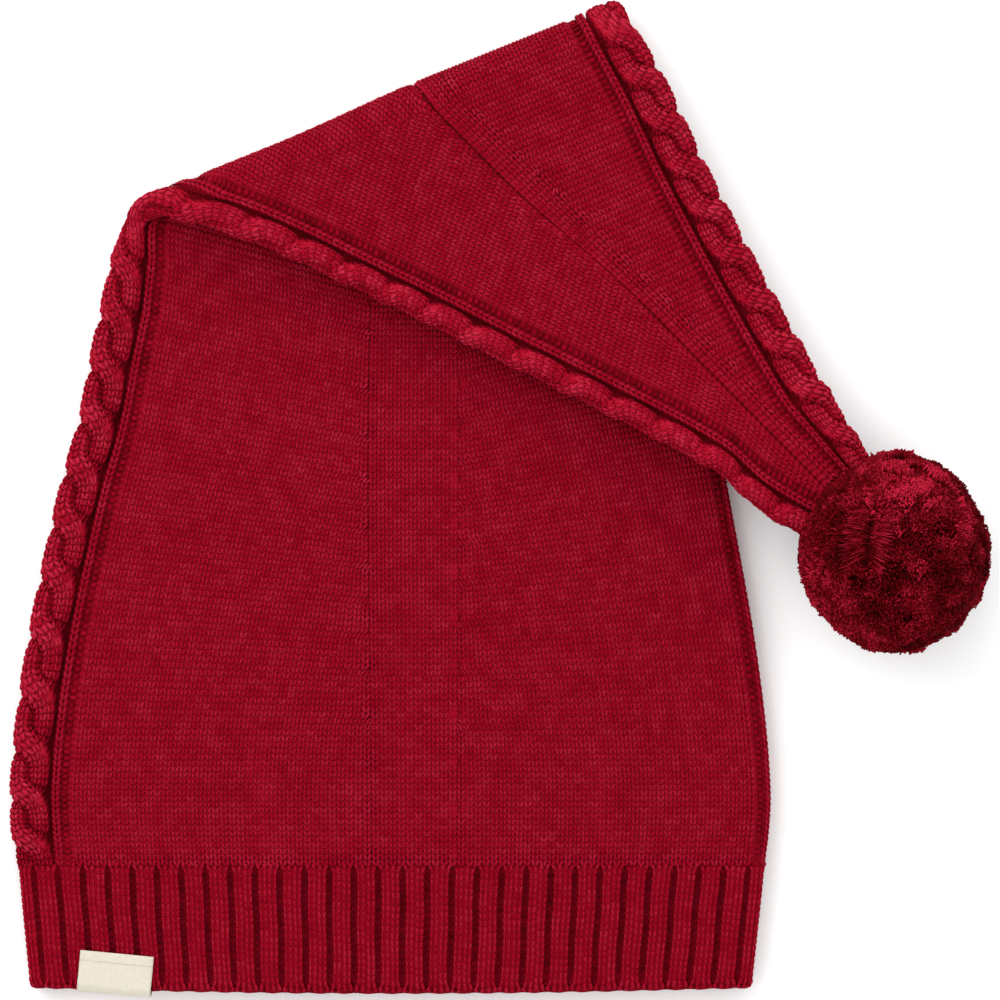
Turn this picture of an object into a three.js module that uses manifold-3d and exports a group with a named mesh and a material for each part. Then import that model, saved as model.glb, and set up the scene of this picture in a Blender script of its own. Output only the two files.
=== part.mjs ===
// An elf hat: a long knitted stocking cap with a ribbed cuff, a rope cable up each side, a pompom
// at its tip and a small cloth tape folded over its rim. It lies flat on its back, with the long
// tail folded over its front and the pompom resting beside it.
//
// Millimetres, +Z up. The mouth faces -Y and the crown +Y. The knitted tube is laid out flat first
// and then bent over a slanting fold line. A place on it is given by three numbers:
//   row    which cross row: -1 at the rim, 0 on top of the cuff, 1 where the fold starts, 2 where
//          it ends and 3 at the tip
//   along  arc length round the tube, from the left edge over the front to the right edge at
//          span(row), and on over the back to 2 * span(row)
//   depth  how far below the outside of the tube
import * as THREE from "three";
import Module from "manifold-3d";
import { mergeVertices } from "three/addons/utils/BufferGeometryUtils.js";

const wasm = await Module();
wasm.setup();

// ---------- Driving dimensions ----------
const GAP = 0.3;
const STRIP_GAP = 0.5;

const WALL = 2.6;
const EDGE_RADIUS = 4.6;
const FOLD_EDGE_RADIUS = 3.5;
const PUFF = 6.0;
const RIM_PUFF = 5.0;
const RIGHT_EDGE_RISE = 1.2;
const RIGHT_EDGE_RISES = { from: 22, to: 4 };

const CUFF_HEIGHT = 36;
const CUFF_WALL = 3.6;
const RIB_COUNT = 62;
const RIB_DEPTH = 1.4;
const BACK_HEM_DROP = 1.8;

const CABLE_HALF = 7.0;
const CABLE_HALF_AT_TIP = 5.5;
const CABLE_RELIEF = 1.2;
const FOLD_BULGE = 1.5;
const FOLD_BULGES = { from: -35, to: 10 };

const TIP_UP = 441;
const TAIL_OVER_FRONT = 3.4;
const TAIL_TO_POMPOM = 9.0;
const TAIL_DROOP = 3.5;

// Rows over which the round edges thin down to the fold, the front settles flat, the right edge
// comes down, and the fold presses each cable flat and lets it go again.
const EDGE_THINS = { from: 0.3, to: 1 };
const PUFF_SETTLES = { from: 0.2, to: 1 };
const RISE_ENDS = { from: 0.4, to: 1 };
const CABLE_PRESSED = { from: 0.75, to: 0.98 };
const CABLE_FREED = { from: 2.02, to: 2.3 };

// How far along the tail from the fold it climbs on to the front, then to the pompom, and where
// its droop off the right edge ends. The droop grows with the overhang.
const CLIMBS_FRONT = { from: 0, to: 80 };
const CLIMBS_TO_POMPOM = { from: 85, to: 160 };
const DROOP_ENDS = { from: 95, to: 155 };
const DROOP_GROWS = { from: 0, to: 45 };

const POMPOM_RADIUS = 27.6;
const POMPOM_AT = new THREE.Vector3(144.8, 126.2, 26.8);
const POMPOM_DIMPLE = 3.2;
const DIMPLE_SPREAD = 0.3;
const TIE_DIRECTION = new THREE.Vector3(-0.12, 0.04, 1).normalize();
const SEAT_GAP = 0.45;

const LABEL_WIDTH = 21.4;
const LABEL_HEIGHT = 12.0;
const LABEL_INSIDE = 8.0;
const LABEL_TAPE = 0.8;
const LABEL_EASE = 1.0;
const LABEL_NOSE = 1.6;
const LABEL_X = -81;
const LABEL_TURN = THREE.MathUtils.degToRad(-5.4);

// The hat laid out flat: the height above the rim, and where its two edges lie there.
const OUTLINE = [
  { up: 0, left: -105.6, right: 103.8 },
  { up: 36, left: -109.0, right: 107.6 },
  { up: 58, left: -110.2, right: 109.0 },
  { up: 95, left: -106.1, right: 105.3 },
  { up: 142, left: -96.6, right: 97.1 },
  { up: 165, left: -90.4, right: 92.6 },
  { up: 188, left: -86.0, right: 87.6 },
  { up: 208, left: -81.4, right: 83.2 },
  { up: 223, left: -76.8, right: 80.0 },
  { up: 258, left: -57.6, right: 72.2 },
  { up: 303, left: -40.0, right: 60.9 },
  { up: 334, left: -29.2, right: 50.6 },
  { up: 364, left: -18.5, right: 41.2 },
  { up: 400, left: -7.0, right: 31.2 },
  { up: 416, left: -5.8, right: 28.0 },
  { up: 442, left: 1.5, right: 23.2 },
];

// Where each cable's middle lies round the tube: on the left as arc length from the left edge on
// to the front, on the right as arc length from the right edge on to the back.
const CABLE_ROLL = [
  { up: 0, left: 6.0, right: 6.0 },
  { up: 2, left: 5.0, right: 6.0 },
  { up: 3, left: 0.5, right: 3.0 },
];

// Soft dips in the front above the cuff, and one where the tail sinks between its ridges.
const CREASES = [
  { x: -39, y: 56, wide: 6.5, high: 24, sink: 1.3 },
  { x: 3, y: 72, wide: 8, high: 46, sink: 1.2 },
  { x: 60, y: 54, wide: 7, high: 20, sink: 1.2 },
];
const TAIL_DIP = { x: 34, y: 213, reach: 24, sink: 1.4, from: 5, to: 30 };

// The fold line, by the point where the bend starts above the middle of the body, and its slope.
const FOLD_POINT = new THREE.Vector2(2.6, 251);
const FOLD_ANGLE = THREE.MathUtils.degToRad(22);
const FOLD_NORMAL = new THREE.Vector2(-Math.sin(FOLD_ANGLE), Math.cos(FOLD_ANGLE));
const FLAT_THICKNESS = 2 * FOLD_EDGE_RADIUS;
const FOLD_CLEARANCE = 2.0;
const BEND_HEIGHT = FLAT_THICKNESS + FOLD_CLEARANCE / 2;
const BEND_RADIUS = BEND_HEIGHT - FOLD_EDGE_RADIUS;
const BEND_LENGTH = Math.PI * BEND_RADIUS;

const { lerp, smoothstep } = THREE.MathUtils;
const ramp = (value, range) => smoothstep(value, range.from, range.to);

// ---------- Reading the tables ----------
function readTable(table, column, up) {
  const last = table.length - 1;
  let i = 0;
  while (i < last - 1 && up > table[i + 1].up) i += 1;
  const slope = (k) => {
    const before = table[Math.max(k - 1, 0)];
    const after = table[Math.min(k + 1, last)];
    return (after[column] - before[column]) / (after.up - before.up);
  };
  const length = table[i + 1].up - table[i].up;
  const t = THREE.MathUtils.clamp((up - table[i].up) / length, 0, 1);
  const rise = t * t * (3 - 2 * t);
  const fromStart = slope(i) * length * t * (1 - t) * (1 - t);
  const fromEnd = slope(i + 1) * length * t * t * (1 - t);
  return lerp(table[i][column], table[i + 1][column], rise) + fromStart - fromEnd;
}

function pastFold(x, y) {
  return (x - FOLD_POINT.x) * FOLD_NORMAL.x + (y - FOLD_POINT.y) * FOLD_NORMAL.y;
}

// The height above the rim at which one edge of the flat hat is a given way past the fold line.
function edgeCrossing(column, past) {
  let up = FOLD_POINT.y;
  for (let i = 0; i < 16; i += 1) {
    const x = readTable(OUTLINE, column, up);
    up = FOLD_POINT.y + (past - (x - FOLD_POINT.x) * FOLD_NORMAL.x) / FOLD_NORMAL.y;
  }
  return up;
}

const FOLD_RIGHT_END = edgeCrossing("right", 0);

function edgeHeight(column, row) {
  if (row <= 0) return CUFF_HEIGHT * (1 + row);
  if (row <= 1) return lerp(CUFF_HEIGHT, edgeCrossing(column, 0), row);
  if (row <= 2) return edgeCrossing(column, (row - 1) * BEND_LENGTH);
  return lerp(edgeCrossing(column, BEND_LENGTH), TIP_UP, row - 2);
}

// ---------- The flattened tube ----------
function crossRow(row) {
  const leftUp = edgeHeight("left", row);
  const rightUp = edgeHeight("right", row);
  const left = new THREE.Vector2(readTable(OUTLINE, "left", leftUp), leftUp);
  const right = new THREE.Vector2(readTable(OUTLINE, "right", rightUp), rightUp);
  const half = left.distanceTo(right) / 2;
  const rise = EDGE_RADIUS - FOLD_EDGE_RADIUS;
  const radius = FOLD_EDGE_RADIUS + rise * (1 - ramp(row, EDGE_THINS));
  const rimPuff = lerp(PUFF, RIM_PUFF, THREE.MathUtils.clamp(-row, 0, 1));
  return {
    row,
    half,
    radius,
    middle: left.clone().add(right).multiplyScalar(0.5),
    across: right.clone().sub(left).normalize(),
    puff: rimPuff * (1 - ramp(row, PUFF_SETTLES)),
    span: Math.PI * radius + 2 * (half - radius),
  };
}

function creaseDepth(x, y) {
  let sink = 0;
  for (const crease of CREASES) {
    const across = (x - crease.x) / crease.wide;
    const up = (y - crease.y) / crease.high;
    sink += crease.sink * Math.exp(-across * across - up * up);
  }
  return sink;
}

// A place on the tube before it is bent over the fold: x, y in the flat layout and z above it.
function flatPlace(line, along, depth) {
  const { span, radius, half } = line;
  const front = along >= 0 && along <= span;
  let arc = along;
  if (along < 0) arc = -along;
  if (along > span) arc = 2 * span - along;
  const fromEdge = Math.min(arc, span - arc);
  const quarter = (Math.PI / 2) * radius;
  const turn = Math.min(fromEdge / radius, Math.PI / 2);
  const reach = radius - depth;
  const inset = radius - reach * Math.cos(turn) + Math.max(fromEdge - quarter, 0);
  const sideways = arc < span / 2 ? inset - half : half - inset;
  const place = line.middle.clone().addScaledVector(line.across, sideways);
  const share = 1 - (sideways / half) ** 2;
  const lifted = RIGHT_EDGE_RISE * (1 - ramp(line.row, RISE_ENDS));
  const { from, to } = RIGHT_EDGE_RISES;
  const rise = lifted * smoothstep(sideways, half - from, half - to);
  let z = radius + rise;
  if (front) {
    const puff = line.puff * share * share;
    z += reach * Math.sin(turn) + puff - creaseDepth(place.x, place.y) * smoothstep(share, 0, 0.4);
  } else {
    z -= reach * Math.sin(turn);
    place.y -= BACK_HEM_DROP * Math.max(-line.row, 0) * Math.max(share, 0);
  }
  return { x: place.x, y: place.y, z };
}

// The same place after the tail is folded over. Nothing sinks below the surface it lies on.
function foldedPlace({ x, y, z }) {
  const past = pastFold(x, y);
  const lowest = -CABLE_RELIEF * smoothstep(past, 0, 4);
  const height = BEND_HEIGHT - Math.max(z, lowest);
  if (past <= 0) return new THREE.Vector3(x, y, BEND_HEIGHT - height);
  const turn = Math.min(past / BEND_RADIUS, Math.PI);
  const back = Math.max(past - BEND_LENGTH, 0);
  const bulge = FOLD_BULGE * ramp(x, FOLD_BULGES);
  const out = (height + bulge) * Math.sin(turn) - back - past;
  const place = new THREE.Vector3(
    x + out * FOLD_NORMAL.x,
    y + out * FOLD_NORMAL.y,
    BEND_HEIGHT - height * Math.cos(turn),
  );
  place.z += TAIL_OVER_FRONT * ramp(back, CLIMBS_FRONT);
  place.z += TAIL_TO_POMPOM * ramp(back, CLIMBS_TO_POMPOM);
  const overhang = place.x - readTable(OUTLINE, "right", Math.min(place.y, FOLD_RIGHT_END));
  place.z -= TAIL_DROOP * ramp(overhang, DROOP_GROWS) * (1 - ramp(back, DROOP_ENDS));
  const dipX = (place.x - TAIL_DIP.x) / TAIL_DIP.reach;
  const dipY = (place.y - TAIL_DIP.y) / TAIL_DIP.reach;
  place.z -= TAIL_DIP.sink * Math.exp(-dipX * dipX - dipY * dipY) * ramp(back, TAIL_DIP);
  return place;
}

// ---------- Closed solids from rows of places ----------
function shellGeometry(outer, inner, closedRing) {
  const rows = outer.length;
  const columns = outer[0].length;
  const vertices = [...outer.flat(), ...inner.flat()];
  const at = (face, r, c) => face * rows * columns + r * columns + (c % columns);
  const faces = [];
  const quad = (a, b, c, d) => faces.push(a, b, c, a, c, d);
  const lastColumn = closedRing ? columns : columns - 1;
  for (let r = 0; r < rows - 1; r += 1) {
    for (let c = 0; c < lastColumn; c += 1) {
      quad(at(0, r, c), at(0, r, c + 1), at(0, r + 1, c + 1), at(0, r + 1, c));
      quad(at(1, r, c), at(1, r + 1, c), at(1, r + 1, c + 1), at(1, r, c + 1));
    }
  }
  for (let c = 0; c < lastColumn; c += 1) {
    const top = rows - 1;
    quad(at(0, 0, c), at(1, 0, c), at(1, 0, c + 1), at(0, 0, c + 1));
    quad(at(0, top, c), at(0, top, c + 1), at(1, top, c + 1), at(1, top, c));
  }
  for (let r = 0; r < rows - 1 && !closedRing; r += 1) {
    const side = columns - 1;
    quad(at(0, r, 0), at(0, r + 1, 0), at(1, r + 1, 0), at(1, r, 0));
    quad(at(0, r, side), at(1, r, side), at(1, r + 1, side), at(0, r + 1, side));
  }
  const geometry = new THREE.BufferGeometry();
  const numbers = vertices.flatMap((place) => place.toArray());
  geometry.setAttribute("position", new THREE.Float32BufferAttribute(numbers, 3));
  geometry.setIndex(faces);
  return facingOut(geometry);
}

function facingOut(geometry) {
  const position = geometry.getAttribute("position");
  const index = geometry.getIndex().array;
  const corner = (i) => new THREE.Vector3().fromBufferAttribute(position, index[i]);
  let volume = 0;
  for (let i = 0; i < index.length; i += 3) {
    volume += corner(i).dot(corner(i + 1).cross(corner(i + 2)));
  }
  if (volume < 0) {
    for (let i = 0; i < index.length; i += 3) {
      [index[i + 1], index[i + 2]] = [index[i + 2], index[i + 1]];
    }
  }
  return geometry;
}

// Rows for the pieces above the cuff: even over the body, close together round the bend.
function rowsAboveCuff() {
  const bodySteps = 9;
  const bendSteps = 8;
  const tailSteps = 11;
  const rows = [];
  for (let i = 0; i < bodySteps; i += 1) rows.push(i / bodySteps);
  for (let i = 0; i < bendSteps; i += 1) rows.push(1 + i / bendSteps);
  for (let i = 0; i <= tailSteps; i += 1) rows.push(2 + i / tailSteps);
  return rows.map(crossRow);
}

function cableHalf(line) {
  return lerp(CABLE_HALF, CABLE_HALF_AT_TIP, smoothstep(line.row, 2, 3));
}

function cableMiddle(line, column) {
  return readTable(CABLE_ROLL, column, Math.max(line.row, 0));
}

// A strip of the wall between two arc lengths, its columns closer together towards both edges.
function wallStrip(from, to, columns) {
  const outer = [];
  const inner = [];
  for (const line of rowsAboveCuff()) {
    const outerRow = [];
    const innerRow = [];
    for (let c = 0; c <= columns; c += 1) {
      const share = (1 - Math.cos((Math.PI * c) / columns)) / 2;
      const along = lerp(from(line), to(line), share);
      outerRow.push(foldedPlace(flatPlace(line, along, 0)));
      innerRow.push(foldedPlace(flatPlace(line, along, WALL)));
    }
    outer.push(outerRow);
    inner.push(innerRow);
  }
  return shellGeometry(outer, inner, false);
}

function frontPanel() {
  const from = (line) => cableMiddle(line, "left") + cableHalf(line) + STRIP_GAP;
  const to = (line) => line.span + cableMiddle(line, "right") - cableHalf(line) - STRIP_GAP;
  return wallStrip(from, to, 18);
}

function backPanel() {
  const from = (line) => line.span + cableMiddle(line, "right") + cableHalf(line) + STRIP_GAP;
  const to = (line) => 2 * line.span + cableMiddle(line, "left") - cableHalf(line) - STRIP_GAP;
  return wallStrip(from, to, 18);
}

// A cable stands proud of the wall, apart from where the fold presses it flat.
function cable(column) {
  const columns = 7;
  const outer = [];
  const inner = [];
  for (const line of rowsAboveCuff()) {
    const middle = (column === "left" ? 0 : line.span) + cableMiddle(line, column);
    const half = cableHalf(line);
    const outerRow = [];
    const innerRow = [];
    for (let c = 0; c <= columns; c += 1) {
      const share = (2 * c) / columns - 1;
      const along = middle + share * half;
      const onFront = along > 0 && along < line.span;
      const nearFold = ramp(line.row, CABLE_PRESSED) * (1 - ramp(line.row, CABLE_FREED));
      const pressed = onFront ? 1 - nearFold : 1;
      const relief = CABLE_RELIEF * (1 - share * share) * pressed;
      outerRow.push(foldedPlace(flatPlace(line, along, -relief)));
      innerRow.push(foldedPlace(flatPlace(line, along, WALL)));
    }
    outer.push(outerRow);
    inner.push(innerRow);
  }
  return shellGeometry(outer, inner, false);
}

// The cuff: a whole ring of knitted ribs, each a broad crest with a narrow groove beside it.
function ribBand() {
  const ribProfile = [
    { share: 0.14, depth: 0 },
    { share: 0.8, depth: 0 },
    { share: 0.9, depth: RIB_DEPTH },
    { share: 1.04, depth: RIB_DEPTH },
  ];
  const topOfCuff = -GAP / CUFF_HEIGHT;
  const rows = [-1, -0.5, topOfCuff].map(crossRow);
  const outer = rows.map(() => []);
  const inner = rows.map(() => []);
  rows.forEach((line, r) => {
    for (let rib = 0; rib < RIB_COUNT; rib += 1) {
      for (const { share, depth } of ribProfile) {
        const along = (((rib + share) / RIB_COUNT) * 2 - 0.5) * line.span;
        outer[r].push(foldedPlace(flatPlace(line, along, depth)));
        inner[r].push(foldedPlace(flatPlace(line, along, CUFF_WALL)));
      }
    }
  });
  return shellGeometry(outer, inner, true);
}

// ---------- Pompom and label ----------
// A ball of clipped yarn, flat where it rests, with a dimple on top where it is tied.
function pompom() {
  const geometry = new THREE.SphereGeometry(POMPOM_RADIUS, 32, 20);
  geometry.rotateX(Math.PI / 2);
  geometry.deleteAttribute("normal");
  geometry.deleteAttribute("uv");
  const ball = mergeVertices(geometry, 1e-3);
  const position = ball.getAttribute("position");
  for (let i = 0; i < position.count; i += 1) {
    const point = new THREE.Vector3().fromBufferAttribute(position, i);
    const fromTie = point.angleTo(TIE_DIRECTION) / DIMPLE_SPREAD;
    point.multiplyScalar(1 - (POMPOM_DIMPLE / POMPOM_RADIUS) * Math.exp(-(fromTie ** 2)));
    point.add(POMPOM_AT);
    position.setXYZ(i, point.x, point.y, Math.max(point.z, 0));
  }
  return facingOut(ball);
}

// Cotton tape folded round the rim: a front leg, a round fold and a shorter leg inside.
function label() {
  const line = crossRow(-1);
  const along = LABEL_X + line.half + (Math.PI / 2 - 1) * line.radius;
  const crest = flatPlace(line, along, 0).z;
  const lining = flatPlace(line, along, CUFF_WALL).z;
  const step = LABEL_WIDTH / 4;
  const climb = flatPlace(line, along + step, 0).z - flatPlace(line, along - step, 0).z;
  const tilt = Math.atan(climb / (2 * step));
  const innerHalf = (crest - lining) / 2 + LABEL_EASE;
  const outerHalf = innerHalf + LABEL_TAPE;
  const frontLength = LABEL_HEIGHT - LABEL_NOSE - LABEL_TAPE;
  const outerNose = LABEL_NOSE + LABEL_TAPE;
  const shape = new THREE.Shape();
  shape.moveTo(frontLength, innerHalf);
  shape.lineTo(frontLength, outerHalf);
  shape.lineTo(0, outerHalf);
  shape.absellipse(0, 0, outerNose, outerHalf, Math.PI / 2, (3 * Math.PI) / 2, false, 0);
  shape.lineTo(LABEL_INSIDE, -outerHalf);
  shape.lineTo(LABEL_INSIDE, -innerHalf);
  shape.lineTo(0, -innerHalf);
  shape.absellipse(0, 0, LABEL_NOSE, innerHalf, (3 * Math.PI) / 2, Math.PI / 2, true, 0);
  const steps = { depth: LABEL_WIDTH, bevelEnabled: false, curveSegments: 8 };
  const tape = new THREE.ExtrudeGeometry(shape, steps);
  tape.translate(0, 0, -LABEL_WIDTH / 2);
  const upright = new THREE.Matrix4().makeBasis(
    new THREE.Vector3(0, 1, 0),
    new THREE.Vector3(0, 0, 1),
    new THREE.Vector3(1, 0, 0),
  );
  tape.applyMatrix4(upright);
  const mesh = namedMesh("label", tape, tapeCloth);
  mesh.position.set(LABEL_X, 0, (crest + lining) / 2);
  mesh.rotation.set(0, -tilt, LABEL_TURN, "ZYX");
  return mesh;
}

// ---------- Solids ----------
function toSolid(geometry) {
  return new wasm.Manifold(new wasm.Mesh({
    numProp: 3,
    vertProperties: new Float32Array(geometry.getAttribute("position").array),
    triVerts: new Uint32Array(geometry.getIndex().array),
  }));
}

function toGeometry(solid) {
  const mesh = solid.getMesh();
  const geometry = new THREE.BufferGeometry();
  geometry.setAttribute("position", new THREE.BufferAttribute(new Float32Array(mesh.vertProperties), 3));
  geometry.setIndex(new THREE.BufferAttribute(new Uint32Array(mesh.triVerts), 1));
  return geometry;
}

// The tip of the tube is hollowed to sit round the pompom.
function seatedOnPompom(geometry) {
  const ball = new THREE.SphereGeometry(POMPOM_RADIUS + SEAT_GAP, 48, 32);
  ball.translate(POMPOM_AT.x, POMPOM_AT.y, POMPOM_AT.z);
  ball.deleteAttribute("normal");
  ball.deleteAttribute("uv");
  return toGeometry(toSolid(geometry).subtract(toSolid(mergeVertices(ball, 1e-3))));
}

function namedMesh(name, geometry, material) {
  geometry.computeVertexNormals();
  const mesh = new THREE.Mesh(geometry, material);
  mesh.name = name;
  return mesh;
}

const knit = new THREE.MeshStandardMaterial({ color: "#8c0b21", roughness: 0.9, metalness: 0 });
const ribKnit = new THREE.MeshStandardMaterial({ color: "#7f0b1e", roughness: 0.9, metalness: 0 });
const cableKnit = new THREE.MeshStandardMaterial({ color: "#961428", roughness: 0.9, metalness: 0 });
const clippedYarn = new THREE.MeshStandardMaterial({ color: "#58030d", roughness: 0.95, metalness: 0 });
const tapeCloth = new THREE.MeshStandardMaterial({ color: "#f2ead8", roughness: 0.8, metalness: 0 });

const hat = new THREE.Group();
hat.add(
  namedMesh("rib_band", ribBand(), ribKnit),
  namedMesh("front_panel", seatedOnPompom(frontPanel()), knit),
  namedMesh("back_panel", seatedOnPompom(backPanel()), knit),
  namedMesh("left_cable", seatedOnPompom(cable("left")), cableKnit),
  namedMesh("right_cable", seatedOnPompom(cable("right")), cableKnit),
  namedMesh("pompom", pompom(), clippedYarn),
  label(),
);

// The origin is the middle of the hat's bounding box, on the surface it lies on.
hat.updateMatrixWorld(true);
const box = new THREE.Box3().setFromObject(hat, true);
const middle = box.getCenter(new THREE.Vector3());
hat.position.set(-middle.x, -middle.y, -box.min.z);
hat.updateMatrixWorld(true);

export default hat;
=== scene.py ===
"""A long knitted elf hat that lies flat on its back, its tail folded over its front.

The knitting is laid out flat first, stitch by stitch, in metres above the rim, and then bent over
the fold. A stitch is two leaning legs of yarn. Every stitch, purl bump and clipped strand is one
small form that is repeated along the courses of the knitting.
"""
import math

import bmesh
import bpy
import numpy as np
from functools import partial
from mathutils import Matrix, Vector


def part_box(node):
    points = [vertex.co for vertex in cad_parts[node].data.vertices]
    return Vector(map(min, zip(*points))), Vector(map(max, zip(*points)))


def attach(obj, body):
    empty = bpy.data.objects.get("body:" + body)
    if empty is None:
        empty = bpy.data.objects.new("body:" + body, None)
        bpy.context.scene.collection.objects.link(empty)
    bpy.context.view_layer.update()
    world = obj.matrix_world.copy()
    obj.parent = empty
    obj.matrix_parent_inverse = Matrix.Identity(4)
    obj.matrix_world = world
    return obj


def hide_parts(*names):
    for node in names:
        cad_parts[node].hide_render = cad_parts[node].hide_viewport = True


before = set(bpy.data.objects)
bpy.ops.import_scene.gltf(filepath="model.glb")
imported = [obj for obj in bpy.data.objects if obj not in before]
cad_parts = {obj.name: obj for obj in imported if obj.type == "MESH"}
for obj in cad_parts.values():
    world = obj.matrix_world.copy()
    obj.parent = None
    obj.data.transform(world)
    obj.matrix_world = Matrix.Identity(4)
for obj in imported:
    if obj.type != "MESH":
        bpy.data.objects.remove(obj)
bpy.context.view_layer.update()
rng = np.random.default_rng(24)

MM = 0.001

# ---------- Sizes of the flat hat ----------
# Height above the rim, and the left and right edge there.
OUTLINE = MM * np.array([
    [0, -105.6, 103.8], [36, -109.0, 107.6], [58, -110.2, 109.0], [95, -106.1, 105.3],
    [142, -96.6, 97.1], [165, -90.4, 92.6], [188, -86.0, 87.6], [208, -81.4, 83.2],
    [223, -76.8, 80.0], [258, -57.6, 72.2], [303, -40.0, 60.9], [334, -29.2, 50.6],
    [364, -18.5, 41.2], [400, -7.0, 31.2], [416, -5.8, 28.0], [442, 1.5, 23.2],
])
CUFF_HEIGHT = 36 * MM
TIP_UP = 441 * MM
EDGE_RADIUS = 4.6 * MM
FOLD_EDGE_RADIUS = 3.5 * MM
PUFF = 6.0 * MM
RIM_PUFF = 5.0 * MM
RIGHT_EDGE_RISE = 1.2 * MM
RISE_BAND = MM * np.array([22, 4])      # how far from the right edge it starts, and where it is full
BACK_HEM_DROP = 1.8 * MM
FRONT_HEM_DROP = 1.4 * MM
WALL = 2.6 * MM
CUFF_WALL = 3.6 * MM

# The cross rows over which the front settles flat, the right edge comes down and the edges thin.
PUFF_SETTLES = (0.2, 1)
RISE_SETTLES = (0.4, 1)
EDGE_THINS = (0.3, 1)

# Soft dips in the front: where, how wide, how high, and how deep. They fade towards the edges.
CREASES = MM * np.array([[-39, 56, 6.5, 24, 1.3], [3, 72, 8, 46, 1.2], [60, 54, 7, 20, 1.2]])
CREASES_FADE = (0, 0.4)
TAIL_DIP = MM * np.array([34, 213, 24, 1.4])
TAIL_DIP_STARTS = MM * np.array([5, 30])

FOLD_POINT = MM * np.array([2.6, 251])
FOLD_ANGLE = math.radians(22)
FOLD_NORMAL = np.array([-math.sin(FOLD_ANGLE), math.cos(FOLD_ANGLE)])
BEND_HEIGHT = 8.0 * MM
BEND_RADIUS = BEND_HEIGHT - FOLD_EDGE_RADIUS
BEND_LENGTH = math.pi * BEND_RADIUS
FOLD_BULGE = 1.5 * MM
FOLD_BULGE_BAND = MM * np.array([-35, 10])
FOLD_RIGHT_END = 277 * MM

# The tail's climb on to the front and then to the pompom, and its droop past the right edge: how
# much, and over which lengths past the fold.
TAIL_OVER_FRONT = 3.4 * MM
OVER_FRONT_BAND = MM * np.array([0, 80])
TAIL_TO_POMPOM = 9.0 * MM
TO_POMPOM_BAND = MM * np.array([85, 160])
TAIL_DROOP = 3.5 * MM
DROOP_OVERHANG = 45 * MM
DROOP_ENDS = MM * np.array([95, 155])

# From how far past the fold the other side shows, and how far inside the bend all is shut in.
SEEN_PAST_FOLD = 2 * MM
SHUT_IN_MARGIN = 1 * MM

# ---------- Sizes of the knitting ----------
WALE = 2.4 * MM
RIBS = 62
CUFF_COURSES = 19
BORDER = 12.7 * MM          # from a cable's middle line to the plain knit
FULL_COURSE = 12            # from here up the wales have their full width
CABLE_CROSSING = 8          # courses from one crossing of the cable to the next

# The courses of the hat: number, height at the left edge, at the right edge, and in the middle of
# the front and of the back. They sag in the middle, as knitting that is narrowed there does.
COURSES = np.array([
    [-2, 32.5, 32.5, 32.5, 32.5], [0, 36, 36, 36, 36], [20, 70.3, 70.3, 70, 70], [43, 118, 117.5, 110, 110],
    [70, 169.5, 168, 155, 154], [96, 218, 216, 200, 193], [119, 261.7, 254, 240, 230],
    [137, 293, 286, 272, 266], [154.5, 320.5, 316, 304, 300], [175, 358, 350.4, 343, 340],
    [195, 392.7, 386.4, 382, 380], [215, 427, 424, 421, 420], [225.5, 441, 441, 441, 441],
]) * [1, MM, MM, MM, MM]
LAST_COURSE = 225
LAST_WALES = 4              # how many wales share what narrowing leaves over
MOST_STRIP_WALES = 12
MOST_PANEL_WALES = 45
STITCH_MIDDLE = 0.3         # a stitch's middle, in courses above its start
FIRST_COURSE_BULGE = 0.2 * MM
BULGE_COURSE = 0.6
BULGE_COURSES = 1.4

# Beside the middle strip: the sharp crease on the back, which is smoother about one course, and
# the pairs of stitches that stand up or sink in at even distances.
CREASE_DEPTH = 0.9 * MM
CREASE_HALF = 0.8 * MM
CREASE_SHOWS = 0.3 * MM
SMOOTH_COURSE = 168
SMOOTH_COURSES = 11
SMOOTHED = 0.7
PAIR_COURSE = 1.6
PAIR_HEIGHT = 0.9
PAIR_COURSES = {(1, 1): 8, (2, 1): 8, (2, -1): 4.4}
PAIR_HALF = 1.9 * MM
PAIR_RISE = {(1, 1): 0.4 * MM, (2, 1): -0.4 * MM, (2, -1): 0.5 * MM}
# Pairs that stand up are painted lighter, and pairs that sink in and the crease darker: painted highlight
# and painted shade.
MARK_PAINTED_LIGHT = 0.5 / MM
COURSE_HEIGHT = 1.8 * MM
FOLD_COURSES = 8            # more courses on the back, round the outside of the fold
LAID_AT = (-0.6, 0.0, 0.5, 1.2)     # where along a stitch its true course is worked out
HALVINGS = 14
COVER_MARGIN = 7 * MM

# How light the yarn is from stitch to stitch: the spread, and the painted shade on the purl bumps.
STITCH_UNEVEN = 0.06
PURL_UNEVEN = 0.14
PURL_PAINTED_SHADE = 0.30
ROPE_UNEVEN = 0.07
RIB_UNEVEN = 0.05
RIB_PURL_UNEVEN = 0.06
RIB_PURL_PAINTED_SHADE = 0.36

# A cable's middle line, measured round the tube from the edge, by height above the rim.
CABLE_MIDDLE = {
    1: MM * np.array([[36, 198, 214, 230, 248, 285, 441], [6.5, 6.0, 3.8, -1.6, -3.0, -2.2, -1.6]]),
    2: MM * np.array([[36, 291, 330, 441], [6.0, 6.0, 6.0, 3.0]]),
}
CABLE_HALF = 6.7 * MM
CABLE_FLOOR = 1.3 * MM
STRAND_SWING = 2.9 * MM
STRAND_HALF = 3.5 * MM
STRAND_LIFT = 1.5 * MM
STRAND_CROWN = 2.7 * MM
STRAND_SUNK = 0.8 * MM
STRAND_WALE = 2.3 * MM
STRAND_LANES = [-1.0, 0.0, 1.0]
STRAND_LINE = 0.75 * MM
STRAND_LINE_DEPTH = 0.7 * MM
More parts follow.
